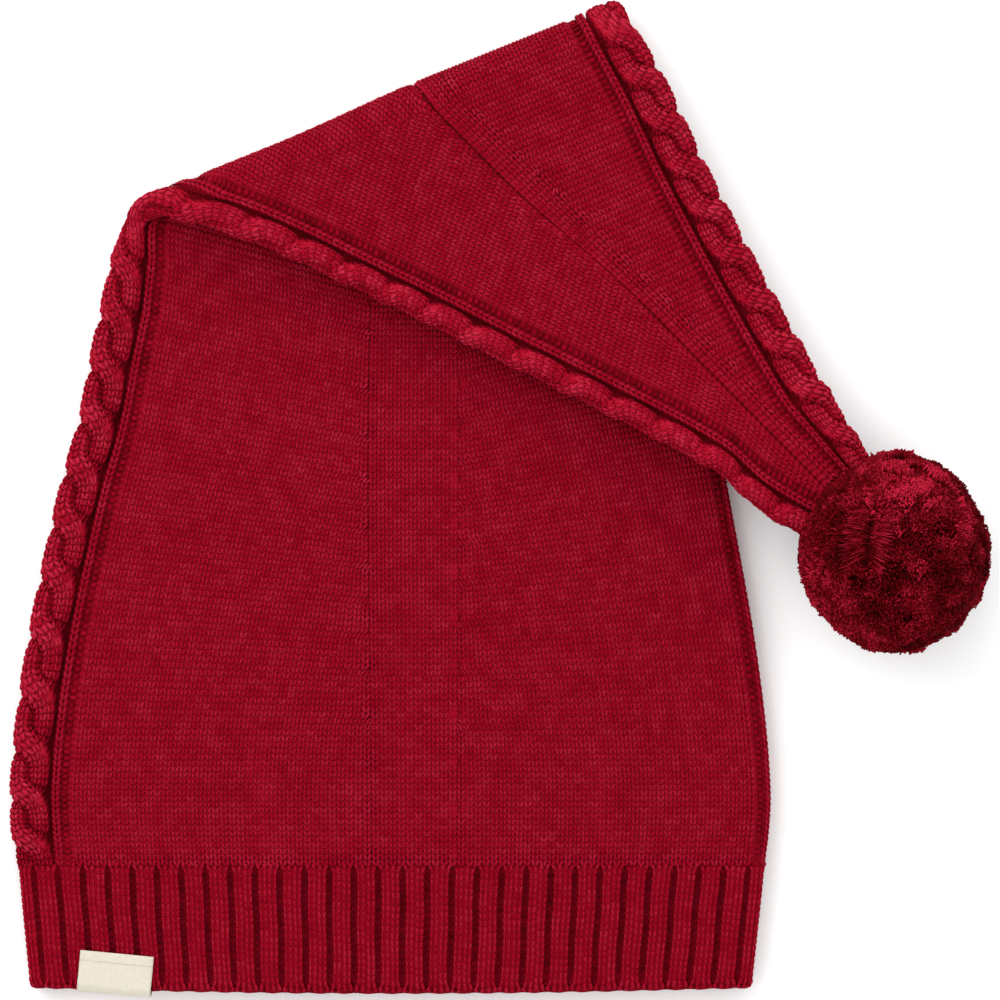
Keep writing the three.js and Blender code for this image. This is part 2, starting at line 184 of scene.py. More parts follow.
# The line where one strand passes under the other is painted darker: painted shade.
STRAND_LINE_PAINTED_SHADE = 0.42
STRAND_DEPTH = 0.40 * MM
STRAND_HIDDEN = 0.3 * MM
# Ropes are painted darker where they lie low and lighter on their crowns: painted shade and painted
# highlight, fainter along the tail.
ROPE_MIDDLE_RISE = 1.4 * MM
ROPE_PAINTED_SHADING = 0.20 / MM
ROPE_MOST_HIGHLIGHT = 0.10
PRESSED_UNDER = 0.85
PRESSED_AT_FOLD = {1: 0.6, 2: 0.5}
PRESSED_COURSE = {1: 100, 2: 135}
PRESSED_COURSES = 8
PRESSED_ON_TAIL = 0.55
LINE_LOST_ON_TAIL = 0.5
PAINTED_LIGHT_LOST_ON_TAIL = 0.5
ROPE_COLUMNS = 21
ROPE_ROW = 0.75

# The courses over which a cable's strands, floor and line grow out of the cuff, the tail starts,
# and the body's weight leaves the right cable. It presses only the side that lies under it.
STRAND_GROWS = (-2, 5)
FLOOR_SINKS = (-1.5, 3)
LINE_STARTS = (0, 5)
TAIL_STARTS = (100, 112)
UNDER_ENDS = (112, 126)
UNDER_BAND = MM * np.array([-4, 1])

# Beside a cable: a groove, one knit wale, a groove of purl bumps, and then the plain knitting.
COLUMN_AT = 8.3 * MM
COLUMN_RISE = 0.35 * MM
PURL_AT = 10.9 * MM
PURL_WANDER = 0.24 * MM
PULL_TURN = 2.4             # how far the pull turns from bump to bump, and how unevenly
PULL_UNEVEN = 1.9
PULL_CHANGE = 1.1
GROOVE_DEPTH = 0.45 * MM
PLAIN_DEPTH = 0.12 * MM
BORDER_STEPS = MM * np.array([6.7, 6.9, 7.1, 7.4, 9.2, 9.6, 10.1, 11.7, 12.1, 12.7])
BORDER_DEPTHS = MM * np.array([1.3, 1.3, 1.0, 0.1, 0.1, 0.6, 0.8, 0.8, 0.4, 0.12])
BORDER_SHARES = (BORDER_STEPS - CABLE_HALF) / (BORDER - CABLE_HALF)
BORDER_GROWS = (-1, 5)
LEAST_RELIEF = 0.2
# The cloth is painted darker the deeper it lies: painted shade.
DEPTH_PAINTED_SHADE = 0.28 / MM
PLAIN_COLUMNS = 26
LAST_PLAIN_COLUMN = 1.985
STRIP_COLUMNS = 9
CREASE_REACH = 60 * MM      # a panel's width and the strip's, rounded, to lay the crease by
STRIP_REACH = 12 * MM
STRIP_WALES = 4

# One rib: the middle of its crest and of its groove, as shares of the way to the next rib.
CREST_AT = 0.47
GROOVE_AT = 0.97
RIB_WALE = 0.42
RIB_DEPTH = 1.9 * MM
CREST_ROUND = 0.5 * MM
RIM_ROUND = 0.8 * MM
RIB_STEPS = 16
RIB_FLARE = 0.30
# The cuff's cloth is painted darker the deeper it lies in a groove, and darker all over under the stitches:
# painted shade.
RIB_PAINTED_SHADE = 0.13 / MM
RIB_CLOTH_DEPTH = 0.22 * MM
RIB_CLOTH_PAINTED_SHADE = 0.14
RIB_PURL_WIDE = 0.2
RIB_PURL_DEPTH = 0.2 * MM
RIB_COURSE_SHIFT = 0.5
CUFF_LEVELS = 13

# Where the groove's slope starts and ends, in wales from the crest's middle. The groove closes
# below the cuff's top and above its rim, and the ribs are broader there.
RIB_GROOVE = (0.74, 1.28)
GROOVE_TOP = MM * np.array([-2.4, -0.4])
GROOVE_BOTTOM = MM * np.array([1.2, 3.6])
RIM_ROUND_HEIGHT = 1.2 * MM
RIB_FLARE_BOTTOM = MM * np.array([0.5, 3.5])
RIB_FLARE_TOP = MM * np.array([-2.5, 0])
RIB_STITCHES_START = 0.3    # in courses above the rim
RIB_STITCHES_KEPT = MM * np.array([0.1, 0.3])       # above the rim, and above the cuff's top

# The ribs wander from side to side, less towards the hat's edges. Their ends scallop the rim.
RIB_WANDER = 0.11 * MM
RIB_WANDER_UP = 3.1 * MM
RIB_WANDER_ACROSS = 8.7 * MM
RIB_WANDER_STARTS = 12 * MM
RIB_END_DROP = 0.14 * MM
RIB_END_HEIGHT = 2.5 * MM

POMPOM_STRANDS = 44000
TUFTS = 620
TIE_THREADS = 190
STRAND_SHOWS = 3.2 * MM
TIE_DEPTH = 3.0 * MM
PARTING_HALF = 0.05
PARTING_LENGTH = 0.29
LEAN_AT_TIE = 1.6
SWELLING = 0.5 * MM
CLEFT_HALF = 0.004
STRAY = 1.5 * MM
POMPOM_LONGER = np.array([0.985, 1.035, 1.0])
MOST_REACH = 1.9 * MM       # how far past the pompom's radius a strand may reach
STRAND_LENGTHS = MM * np.array([4.5, 6.5])
STRAND_RADII = MM * np.array([0.28, 0.44])
CLEFT_DEPTH = 1.0 * MM
SCATTER = 0.012
TUFT_EDGE_SCATTER = 0.02
LEAST_OUTWARD = 0.6
LEANS_BY_TIE = (0.12, 0.14)     # how far from the parting, and how wide the band is
SWELLING_WAVES = 6

# Chance values, each by its middle and its spread.
STRAND_DEPTHS = (-0.3 * MM, 0.3 * MM)
TUFT_DEPTHS = (0, 0.40 * MM)
TUFT_LEANS = (0, 0.20)
STRAND_LEANS = (0, 0.16)
SWELLING_TURNS = (0, 5.5)
STRAND_TONES = (-0.15, 0.14)
TUFT_TONES = (0, 0.09)
THREAD_TONES = (0.10, 0.22)

# Single tufts stand out on the side where the pompom has its painted highlight, and on its top,
# where a direction comes this near to their middle. 1 is at the middle itself.
STRAY_SHARE = 0.3
POMPOM_HIGHLIGHT_SIDE = np.array([0.22, 0.66, 0.72])
POMPOM_TOP = np.array([0.02, 0.97, 0.24])
POMPOM_HIGHLIGHT_RIM = np.array([-0.78, -0.58, 0.24])
STRAYS_ON_SIDE = 0.84
STRAYS_ON_TOP = 0.93

# How light the pompom's yarn is. Its painted highlight, on one side and on the rim, starts this
# near to their middle.
HIGHLIGHT_SIDE_STARTS = 0.68
HIGHLIGHT_SIDE_TONE = 1.9
HIGHLIGHT_RIM_STARTS = 0.75
HIGHLIGHT_RIM_TONE = 3.0
HIGHLIGHTED_STRANDS = (0, 0.8)     # how much of that each strand takes
# Painted shade in the clefts between tufts.
CLEFT_PAINTED_SHADE = 0.6
# Painted light on the swellings: lighter where they swell out and darker between.
SWELLING_PAINTED_LIGHT = 0.10
# Painted highlight on stray tufts and on the strands that lean open beside the parting.
STRAY_PAINTED_HIGHLIGHT = 0.35
PARTED_PAINTED_HIGHLIGHT = 0.2
# Painted shade in the tie's dip and on the core, which lies under the strands.
TIE_PAINTED_SHADE = 0.6
CORE_PAINTED_SHADE = -0.5

# The long threads by the tie: where they start and how far they run, as shares of the radius.
THREAD_STARTS = (0.02, 0.09)
THREAD_LENGTHS = (0.12, 0.26)
THREADS_ALONG = -0.09
THREAD_SPREAD = 0.3
THREAD_DIVE = 1.8 * MM
THREAD_DEPTHS = MM * np.array([-0.4, 0.3])
THREAD_RADII = MM * np.array([0.10, 0.16])

# How the floor presses what lies on it.
FLOOR_GAP = 0.05 * MM
PRESSED_BELOW = 2.4 * MM
PRESSED_SLOPE = 0.79
PRESSED_HARD_BELOW = 0.35 * MM

LABEL_WIDTH = 21.4 * MM
LABEL_HEIGHT = 12.0 * MM
LABEL_INSIDE = 8.0 * MM
LABEL_TAPE = 0.55 * MM
LABEL_EASE = 1.3 * MM
LABEL_NOSE = 1.9 * MM
LABEL_X = -81 * MM
LABEL_LINE = 2.9 * MM
LABEL_LINE_HALF = 0.14 * MM
LABEL_LINE_DEPTH = 1.5
THREAD = 0.42 * MM
WEAVE_PAINTED_SHADE = 0.16
DIRT_SCALE = 900
DIRT_SHADE = 0.3
CLEAN_SHADE = 0.4
LABEL_TURN = math.radians(-5.4)
RIB_SPACING = 7 * MM        # the tape rises over the ribs under it, and curls at its corners
LABEL_OVER_RIBS = 0.10 * MM
LABEL_CURL = 0.35 * MM
LEG_STEPS = 14
NOSE_STEPS = 16
INNER_STEPS = 8
LABEL_COLUMNS = 28

# The narrow middle strip of upright wales: height, and its left and right side.
FRONT_STRIP = MM * np.array([[36, -6.4, 18.3], [205, -6.4, 18.3], [300, 3, 16], [441, 9, 14]])
BACK_STRIP = MM * np.array([
    [36, 3, 12], [230, 5.5, 12.5], [270, 6.4, 13.3], [303, 7.1, 14.6], [343, 10.4, 15.3],
    [378, 10.9, 16.2], [441, 11.5, 16.8],
])

pompom_low, pompom_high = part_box("pompom")
POMPOM_IN_HAT = MM * np.array([144.8, 126.2])
SHIFT = np.array([
    (pompom_low.x + pompom_high.x) / 2 - POMPOM_IN_HAT[0],
    (pompom_low.y + pompom_high.y) / 2 - POMPOM_IN_HAT[1],
])


# ---------- The cloth's surface ----------
def read_table(table, column, at):
    """A smooth curve through one column of a table, held still past its ends."""
    ups, values = table[:, 0], table[:, column]
    last = len(ups) - 1
    k = np.arange(last + 1)
    before, after = np.maximum(k - 1, 0), np.minimum(k + 1, last)
    slopes = (values[after] - values[before]) / (ups[after] - ups[before])
    i = np.clip(np.searchsorted(ups, at) - 1, 0, last - 1)
    length = ups[i + 1] - ups[i]
    t = np.clip((at - ups[i]) / length, 0, 1)
    rise = t * t * (3 - 2 * t)
    bend = slopes[i] * t * (1 - t) ** 2 - slopes[i + 1] * t * t * (1 - t)
    return values[i] + (values[i + 1] - values[i]) * rise + bend * length


def smoothstep(x, start, end):
    t = np.clip((x - start) / (end - start), 0, 1)
    return t * t * (3 - 2 * t)


def past_fold(x, y):
    return (x - FOLD_POINT[0]) * FOLD_NORMAL[0] + (y - FOLD_POINT[1]) * FOLD_NORMAL[1]


def cross_row(x, y):
    """-1 at the rim, 0 on top of the cuff, 1 where the fold starts."""
    fold_up = FOLD_POINT[1] + (x - FOLD_POINT[0]) * math.tan(FOLD_ANGLE)
    body = (y - CUFF_HEIGHT) / (fold_up - CUFF_HEIGHT)
    return np.where(y < CUFF_HEIGHT, y / CUFF_HEIGHT - 1, body)


def edge_radius(x, y):
    rise = EDGE_RADIUS - FOLD_EDGE_RADIUS
    return FOLD_EDGE_RADIUS + rise * (1 - smoothstep(cross_row(x, y), *EDGE_THINS))


def pressed_on_floor(z):
    """Flattens what lies lowest against the floor. Each layer keeps its order, so no two of them meet."""
    eased = np.where(z < PRESSED_BELOW, PRESSED_BELOW - (PRESSED_BELOW - z) * PRESSED_SLOPE, z)
    room = PRESSED_HARD_BELOW - FLOOR_GAP
    hard = FLOOR_GAP + room / (1 + np.maximum(PRESSED_HARD_BELOW - eased, 0) / room)
    return np.where(eased < PRESSED_HARD_BELOW, hard, eased)


def settle(x, y, z, face):
    """Puffs the front out, creases it, and folds the tail over. Gives places in the part's frame."""
    x, y, z, face = np.broadcast_arrays(x, y, z, face)
    left, right = read_table(OUTLINE, 1, y), read_table(OUTLINE, 2, y)
    row = cross_row(x, y)
    half = (right - left) / 2
    sideways = x - (left + right) / 2
    share = np.clip(1 - (sideways / half) ** 2, 0, 1)
    rim = np.clip(-row, 0, 1)
    puff = (PUFF + (RIM_PUFF - PUFF) * rim) * (1 - smoothstep(row, *PUFF_SETTLES))
    sink = sum(
        crease[4] * np.exp(-(((x - crease[0]) / crease[2]) ** 2) - ((y - crease[1]) / crease[3]) ** 2)
        for crease in CREASES
    )
    front = face > 0
    z = z + np.where(front, puff * share**2 - sink * smoothstep(share, *CREASES_FADE), 0)
    lifted = RIGHT_EDGE_RISE * (1 - smoothstep(row, *RISE_SETTLES))
    z = z + lifted * smoothstep(sideways, half - RISE_BAND[0], half - RISE_BAND[1])
    y = y - np.where(front, FRONT_HEM_DROP, BACK_HEM_DROP) * rim * share

    past = past_fold(x, y)
    height = BEND_HEIGHT - z
    turn = np.clip(past / BEND_RADIUS, 0, math.pi)
    back = np.maximum(past - BEND_LENGTH, 0)
    bulge = FOLD_BULGE * smoothstep(x, *FOLD_BULGE_BAND)
    out = np.where(past > 0, (height + bulge) * np.sin(turn) - back - past, 0)
    px = x + out * FOLD_NORMAL[0]
    py = y + out * FOLD_NORMAL[1]
    pz = BEND_HEIGHT - height * np.cos(turn)
    pz = pz + TAIL_OVER_FRONT * smoothstep(back, *OVER_FRONT_BAND)
    pz = pz + TAIL_TO_POMPOM * smoothstep(back, *TO_POMPOM_BAND)
    overhang = px - read_table(OUTLINE, 2, np.minimum(py, FOLD_RIGHT_END))
    droop = smoothstep(overhang, 0, DROOP_OVERHANG) * (1 - smoothstep(back, *DROOP_ENDS))
    pz = pz - TAIL_DROOP * droop * (past > 0)
    dip = np.exp(-((px - TAIL_DIP[0]) ** 2 + (py - TAIL_DIP[1]) ** 2) / TAIL_DIP[2] ** 2)
    pz = pz - TAIL_DIP[3] * dip * smoothstep(back, *TAIL_DIP_STARTS)
    return np.stack([px + SHIFT[0], py + SHIFT[1], pressed_on_floor(pz)], -1)


def strip_side(face, side, y):
    front, back = read_table(FRONT_STRIP, side, y), read_table(BACK_STRIP, side, y)
    return np.where(face > 0, front, back)


def middle_height(face, course):
    return np.where(face > 0, read_table(COURSES, 3, course), read_table(COURSES, 4, course))


def course_line(side, face, course):
    """Where a course leaves the edge, and where it meets the middle strip."""
    up = read_table(COURSES, side, course)
    middle = middle_height(face, course)
    return read_table(OUTLINE, side, up), up, strip_side(face, side, middle), middle


def edge_spot(side, arc, course, raised):
    """A flat place by its distance round the tube from the left (1) or right (2) edge: over 0 on
    the face that the edge's cable lies on, under 0 on the other face."""
    face = np.where((arc > 0) == (side == 1), 1, -1)
    arc, course, raised, face = np.broadcast_arrays(np.abs(arc), course, raised, face)
    ex, ey, mx, my = course_line(side, face, course)
    length = np.hypot(mx - ex, my - ey)
    along = arc / length
    radius = edge_radius(ex + (mx - ex) * along, ey + (my - ey) * along)
    quarter = radius * math.pi / 2
    turn = np.minimum(arc / radius, math.pi / 2)
    reach = radius + raised
    inset = (radius - reach * np.cos(turn) + np.maximum(arc - quarter, 0)) / length
    x, y = ex + (mx - ex) * inset, ey + (my - ey) * inset
    return x, y, radius + face * reach * np.sin(turn), face


def cable_middle(side, course):
    up = read_table(COURSES, side, course)
    return np.interp(up, CABLE_MIDDLE[side][0], CABLE_MIDDLE[side][1])


def towards(side, face):
    return np.where((np.asarray(face) > 0) == (side == 1), 1, -1)


def room(side, face, course):
    """From the cable's middle line to the middle strip, along a course."""
    ex, ey, mx, my = course_line(side, face, course)
    around = np.hypot(mx - ex, my - ey) + (math.pi / 2 - 1) * edge_radius(ex, ey)
    return around - towards(side, face) * cable_middle(side, course)


def fit(side, face, course):
    """How much the cable and its borders are narrowed where the tail is slim."""
    return np.minimum(room(side, face, course) / BORDER, 1)


def beside_cable(side, face, away, course, raised):
    """A flat place by its distance from the cable's middle line, towards the middle of a face."""
    away = towards(side, face) * away * np.where(away < BORDER, fit(side, face, course), 1)
    return edge_spot(side, cable_middle(side, course) + away, course, raised)


def strip_spot(face, across, course, raised):
    """A flat place on the middle strip: across runs from 0 on its left to 1 on its right."""
    middle = middle_height(face, course)
    left, right = strip_side(face, 1, middle), strip_side(face, 2, middle)
    x = left + (right - left) * across
    radius = edge_radius(x, middle)
    return x, middle + 0 * raised, radius + face * (radius + raised), face


def cuff_spot(turn, up, raised):
    """A flat place on the cuff: turn runs from 0 to 1 round it, from the left edge over the front."""
    left, right = read_table(OUTLINE, 1, up), read_table(OUTLINE, 2, up)
    half, middle = (right - left) / 2, (left + right) / 2
    radius = EDGE_RADIUS
    span = math.pi * radius + 2 * (half - radius)
    along = (turn % 1) * 2 * span
    face = np.where(along <= span, 1, -1)
    arc = np.where(along > span, 2 * span - along, along)
    from_edge = np.minimum(arc, span - arc)
    quarter = radius * math.pi / 2
    bend = np.minimum(from_edge / radius, math.pi / 2)
    reach = radius + raised
    inset = radius - reach * np.cos(bend) + np.maximum(from_edge - quarter, 0)
    x = middle + np.where(arc < span / 2, inset - half, half - inset)
    swing = np.sin(up / RIB_WANDER_UP + x / RIB_WANDER_ACROSS)
    x = x + RIB_WANDER * swing * np.clip(inset / RIB_WANDER_STARTS, 0, 1)
    ends = np.cos(2 * math.pi * (turn * RIBS - CREST_AT)) * (1 - smoothstep(up, 0, RIB_END_HEIGHT))
    return x, up - RIB_END_DROP * ends, radius + face * reach * np.sin(bend), face


def in_sight(x, y, face):
    """Which flat places show from above: not on the underside, and not under the tail."""
    past = past_fold(x, y)
    back = np.maximum(-past, 0)
    fx = x + (2 * back + BEND_LENGTH) * FOLD_NORMAL[0]
    fy = y + (2 * back + BEND_LENGTH) * FOLD_NORMAL[1]
    covered = (fy < TIP_UP) & (fx > read_table(OUTLINE, 1, fy) + COVER_MARGIN)
    covered &= fx < read_table(OUTLINE, 2, fy) - COVER_MARGIN
    return np.where(face > 0, (past < SEEN_PAST_FOLD) & ~covered, past > SEEN_PAST_FOLD)


def inside_fold(x, y, face):
    """Places on the front that the fold has shut in, where nothing can be seen."""
    past = past_fold(x, y)
    return (face > 0) & (past > SHUT_IN_MARGIN) & (past < BEND_LENGTH - SHUT_IN_MARGIN)


# ---------- Materials ----------
FIBRE_SCALE = 2200
FIBRE_SHADE = 0.6
DYE_SCALE = 160


def plain_material(name, roughness, shine):
    """A material of one plain shader, with its roughness and its shine."""
    material = bpy.data.materials.new(name)
    material.use_nodes = True
    shader = material.node_tree.nodes["Principled BSDF"]
    shader.inputs["Roughness"].default_value = roughness
    shader.inputs["Specular IOR Level"].default_value = shine
    return material, material.node_tree, shader


def math_node(tree, kind, *values):
    """What a math node gives. Each value is a number or what another node gives."""
    node = tree.nodes.new("ShaderNodeMath")
    node.operation = kind
    for socket, value in zip(node.inputs, values):
        if isinstance(value, (int, float)):
            socket.default_value = value
        else:
            tree.links.new(value, socket)
    return node.outputs[0]


def wave_of(tree, value, length):
    """A wave from -1 to 1 that repeats each time the value has grown by a length."""
    return math_node(tree, "SINE", math_node(tree, "MULTIPLY", value, 2 * math.pi / length))


def attribute_node(tree, name):
    """What a mesh says at each of its points under a name."""
    node = tree.nodes.new("ShaderNodeAttribute")
    node.attribute_name = name
    return node.outputs["Fac"]


def noise(tree, place, scale, detail=2):
    node = tree.nodes.new("ShaderNodeTexNoise")
    node.inputs["Scale"].default_value = scale
    node.inputs["Detail"].default_value = detail
    tree.links.new(place, node.inputs["Vector"])
    return node.outputs["Fac"]


def coloured(tree, shader, shade, *stops):
    """Gives a shader its colours, dark to light. A stop is a shade and the colour there."""
    ramp = tree.nodes.new("ShaderNodeValToRGB")
    elements = ramp.color_ramp.elements
    for end in (0, -1):
        elements[end].position = stops[end][0]
        elements[end].color = (*stops[end][1], 1)
    for at, colour in stops[1:-1]:
        elements.new(at).color = (*colour, 1)
    tree.links.new(shade, ramp.inputs["Fac"])
    tree.links.new(ramp.outputs["Color"], shader.inputs["Base Color"])


def bumped(tree, onto, height, distance, strength=1.0):
    """Raises a fine relief on a shader, or under another bump."""
    bump = tree.nodes.new("ShaderNodeBump")
    bump.inputs["Strength"].default_value = strength
    bump.inputs["Distance"].default_value = distance
    tree.links.new(height, bump.inputs["Height"])
    tree.links.new(bump.outputs["Normal"], onto.inputs["Normal"])


def yarn_group():
    """Uneven dye, fine fibres and each point's tone, with its painted shade and highlight, the same on all
    the yarns.
    """
    group = bpy.data.node_groups.new("yarn fibres", "ShaderNodeTree")
    for way, names in (("INPUT", ("Tone", "Depth", "Dye")), ("OUTPUT", ("Shade", "Fibre"))):
        for name in names:
            group.interface.new_socket(name, in_out=way, socket_type="NodeSocketFloat")
    taken = group.nodes.new("NodeGroupInput").outputs
    given = group.nodes.new("NodeGroupOutput").inputs
    place = group.nodes.new("ShaderNodeTexCoord").outputs["Object"]
    fibre = noise(group, place, FIBRE_SCALE)
    dye = noise(group, place, DYE_SCALE, detail=3)
    tone_and_painted_light = math_node(group, "MULTIPLY", taken["Tone"], taken["Depth"])
    dyed = math_node(group, "MULTIPLY", math_node(group, "SUBTRACT", dye, 0.5), taken["Dye"])
    fine = math_node(group, "MULTIPLY", math_node(group, "SUBTRACT", fibre, 0.5), FIBRE_SHADE)
    shade = math_node(group, "ADD", math_node(group, "ADD", 0.5, tone_and_painted_light), math_node(group, "ADD", dyed, fine))
    group.links.new(shade, given["Shade"])
    group.links.new(fibre, given["Fibre"])
    return group


YARN_FIBRES = yarn_group()


def yarn(name, dark, middle, light, depth=0.8, dye=0.5):
    """Matt cotton yarn, unevenly dyed, with fine fibres, with painted shade in its hollows and painted
    highlight on its tops.
    """
    material, tree, shader = plain_material(name, roughness=0.9, shine=0.04)
    shader.inputs["Sheen Weight"].default_value = 0.05
    shader.inputs["Sheen Roughness"].default_value = 0.4
    shader.inputs["Sheen Tint"].default_value = (*light, 1)
    fibres = tree.nodes.new("ShaderNodeGroup")
    fibres.node_tree = YARN_FIBRES
    fibres.inputs["Depth"].default_value = depth
    fibres.inputs["Dye"].default_value = dye
    tree.links.new(attribute_node(tree, "tone"), fibres.inputs["Tone"])
    coloured(tree, shader, fibres.outputs["Shade"], (0, dark), (0.5, middle), (1, light))
    bumped(tree, shader, fibres.outputs["Fibre"], 0.06 * MM, strength=0.5)
    return material


def knitted_cloth():
    """The cloth under the stitches, whose inner side shows its rows of purl bumps."""
    material = yarn("knitted cloth", (0.08, 0.0, 0.0025), (0.24, 0.0016, 0.011), (0.32, 0.005, 0.024))
    tree = material.node_tree
    wales, courses = (wave_of(tree, attribute_node(tree, name), 1) for name in ("wale", "course"))
    bumps = math_node(tree, "MULTIPLY_ADD", wales, 0.5, courses)
    bumped(tree, tree.nodes["Bump"], bumps, 0.4 * MM, strength=0.8)
    return material


PLAIN_YARN = yarn(
    "plain_knit yarn", (0.115, 0.0, 0.0025), (0.244, 0.0006, 0.0105), (0.40, 0.017, 0.045),
    depth=0.7, dye=0.35,
)
RIB_YARN = yarn(
    "rib_knit yarn", (0.06, 0.0, 0.0015), (0.258, 0.0008, 0.0105), (0.44, 0.020, 0.048), dye=0.2,
)
CABLE_YARN = yarn(
    "cable_knit yarn", (0.06, 0.0, 0.0015), (0.28, 0.0012, 0.0125), (0.51, 0.026, 0.060), dye=0.35,
)
POMPOM_YARN = yarn(
    "pompom yarn", (0.024, 0.0, 0.0004), (0.125, 0.0003, 0.003), (0.44, 0.011, 0.035), dye=0.8,
)
KNITTED_CLOTH = knitted_cloth()


# ---------- Small forms that are repeated ----------
def spindle(stations, sides):
    """A closed spindle: across, along and raised, half its width and half its height at each
    station, and how light its yarn is there. The first and last stations are points."""
    points, light, faces, flat = [], [], [], []
    count = len(stations)
    for across, along, raised, wide, high, tone in stations[1:-1]:
        for k in range(sides):
            angle = math.pi / 2 + 2 * math.pi * k / sides
            points.append((across + wide * math.cos(angle), along, raised + high * math.sin(angle)))
            light.append(tone)
    for across, along, raised, _, _, tone in (stations[0], stations[-1]):
        points.append((across, along, raised))
        light.append(tone)
    first, last = len(points) - 2, len(points) - 1
    for ring in range(count - 1):
        for k in range(sides):
            after = (k + 1) % sides
            low, high = (ring - 1) * sides, ring * sides
            u0, u1, v0, v1 = k / sides, (k + 1) / sides, ring / (count - 1), (ring + 1) / (count - 1)
            if ring == 0:
                faces.append((first, high + k, high + after))
                flat.append((((u0 + u1) / 2, v0), (u0, v1), (u1, v1)))
            elif ring == count - 2:
                faces.append((low + k, last, low + after))
                flat.append(((u0, v0), ((u0 + u1) / 2, v1), (u1, v0)))
            else:
                faces.append((low + k, high + k, high + after, low + after))
                flat.append(((u0, v0), (u0, v1), (u1, v1), (u1, v0)))
    return np.array(points), np.array(light), faces, flat


def pair_of(leg):
    """The two legs of a stitch: one leg and its mirror image beside it, in one form."""
    points, light, faces, flat = leg
    mirrored = points * [-1, 1, 1]
    count = len(points)
    half = [[(u / 2, v) for u, v in face] for face in flat]
    other = [[(1 - u / 2, v) for u, v in face][::-1] for face in flat]
    return (
        np.concatenate([points, mirrored]),
        np.concatenate([light, light]),
        list(faces) + [tuple(i + count for i in face[::-1]) for face in faces],
        half + other,
    )


CELL_MARGIN = 0.08          # round each copy's own cell on the flat sheet of all the copies


def joined(name, form, places, tones, material):
    """One mesh of many copies of a form. places holds each copy's points."""
    _, light, faces, flat = form
    count, points = places.shape[:2]
    triangles = np.array([(f[0], f[k], f[k + 1]) for f in faces for k in range(1, len(f) - 1)])
    a, b, c = (places[:, triangles[:, k]] - places[:, :1] for k in range(3))
    inside_out = np.einsum("ijk,ijk->i", a, np.cross(b, c)) < 0
    corners = np.array([i for face in faces for i in face])
    backwards = np.array([i for face in faces for i in face[::-1]])
    spot = np.array([p for face in flat for p in face])
    spot_back = np.array([p for face in flat for p in face[::-1]])
    sizes = np.array([len(face) for face in faces])
    loops = np.where(inside_out[:, None], backwards, corners) + points * np.arange(count)[:, None]

    mesh = bpy.data.meshes.new(name)
    mesh.vertices.add(count * points)
    mesh.vertices.foreach_set("co", places.astype(np.float32).ravel())
    mesh.loops.add(loops.size)
    mesh.loops.foreach_set("vertex_index", loops.astype(np.int32).ravel())
    mesh.polygons.add(count * len(faces))
    starts = np.concatenate([[0], np.cumsum(sizes)[:-1]]) + len(corners) * np.arange(count)[:, None]
    mesh.polygons.foreach_set("loop_start", starts.astype(np.int32).ravel())
    mesh.update(calc_edges=True)
    mesh.shade_smooth()

    tone = mesh.attributes.new("tone", "FLOAT", "POINT")
    tone.data.foreach_set("value", (tones.reshape(count, -1) + light).astype(np.float32).ravel())
    cells = math.ceil(math.sqrt(count))
    cell = np.stack([np.arange(count) % cells, np.arange(count) // cells], -1)
    inner = CELL_MARGIN + (1 - 2 * CELL_MARGIN) * np.where(inside_out[:, None, None], spot_back, spot)
    layer = mesh.uv_layers.new(name="OFBake")
    layer.uv.foreach_set("vector", ((cell[:, None] + inner) / cells).astype(np.float32).ravel())
    return finished(name, mesh, material)


def finished(name, mesh, material):
    piece = bpy.data.objects.new(name, mesh)
    bpy.context.scene.collection.objects.link(piece)
    mesh.materials.append(material)
    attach(piece, "root")
    return piece


def sewn(name, bm, places, material, **readings):
    """A smooth piece whose points lie at places. readings are what its material reads there."""
    for vertex, place in zip(bm.verts, places.tolist()):
        vertex.co = place
    for word, values in readings.items():
        layer = bm.verts.layers.float.new(word)
        for vertex, value in zip(bm.verts, values.tolist()):
            vertex[layer] = value
    bmesh.ops.recalc_face_normals(bm, faces=bm.faces[:])
    mesh = bpy.data.meshes.new(name)
    bm.to_mesh(mesh)
    bm.free()
    mesh.shade_smooth()
    return finished(name, mesh, material)


def two_sided(wide, long):
    """A flat grid and its inner side, and each point's column, its row, and 1 if it is inner."""
    bm = bmesh.new()
    bmesh.ops.create_grid(bm, x_segments=wide, y_segments=long, size=1)
    layers = [bm.verts.layers.int.new(word) for word in ("column", "row", "inner")]
    for vertex in bm.verts:
        vertex[layers[0]] = round((vertex.co.x + 1) / 2 * wide)
        vertex[layers[1]] = round((vertex.co.y + 1) / 2 * long)
    for item in bmesh.ops.extrude_face_region(bm, geom=bm.faces[:])["geom"]:
        if isinstance(item, bmesh.types.BMVert):
            item[layers[2]] = 1
    return bm, [np.array([vertex[layer] for vertex in bm.verts]) for layer in layers]


# A knit stitch is a pair of leaning legs. Widths are shares of a wale, lengths are courses.
# Each leg is painted lighter on its raised middle and darker at its sunk ends: painted highlight and
# painted shade.
STITCH = pair_of(spindle([
    (-0.09, -0.55, -0.19 * MM, 0, 0, -0.12),
    (-0.18, -0.06, 0.02 * MM, 0.26, 0.26 * MM, 0.08),
    (-0.29, 0.46, 0.03 * MM, 0.26, 0.26 * MM, 0.08),
    (-0.37, 1.06, -0.20 * MM, 0, 0, -0.12),
], 3))
PLAIN_STITCH = pair_of(spindle([
    (-0.04, -0.5, -0.28 * MM, 0, 0, -0.12),
    (-0.22, 0.25, 0.06 * MM, 0.28, 0.40 * MM, 0.03),
    (-0.38, 1.02, -0.30 * MM, 0, 0, -0.12),
], 3))
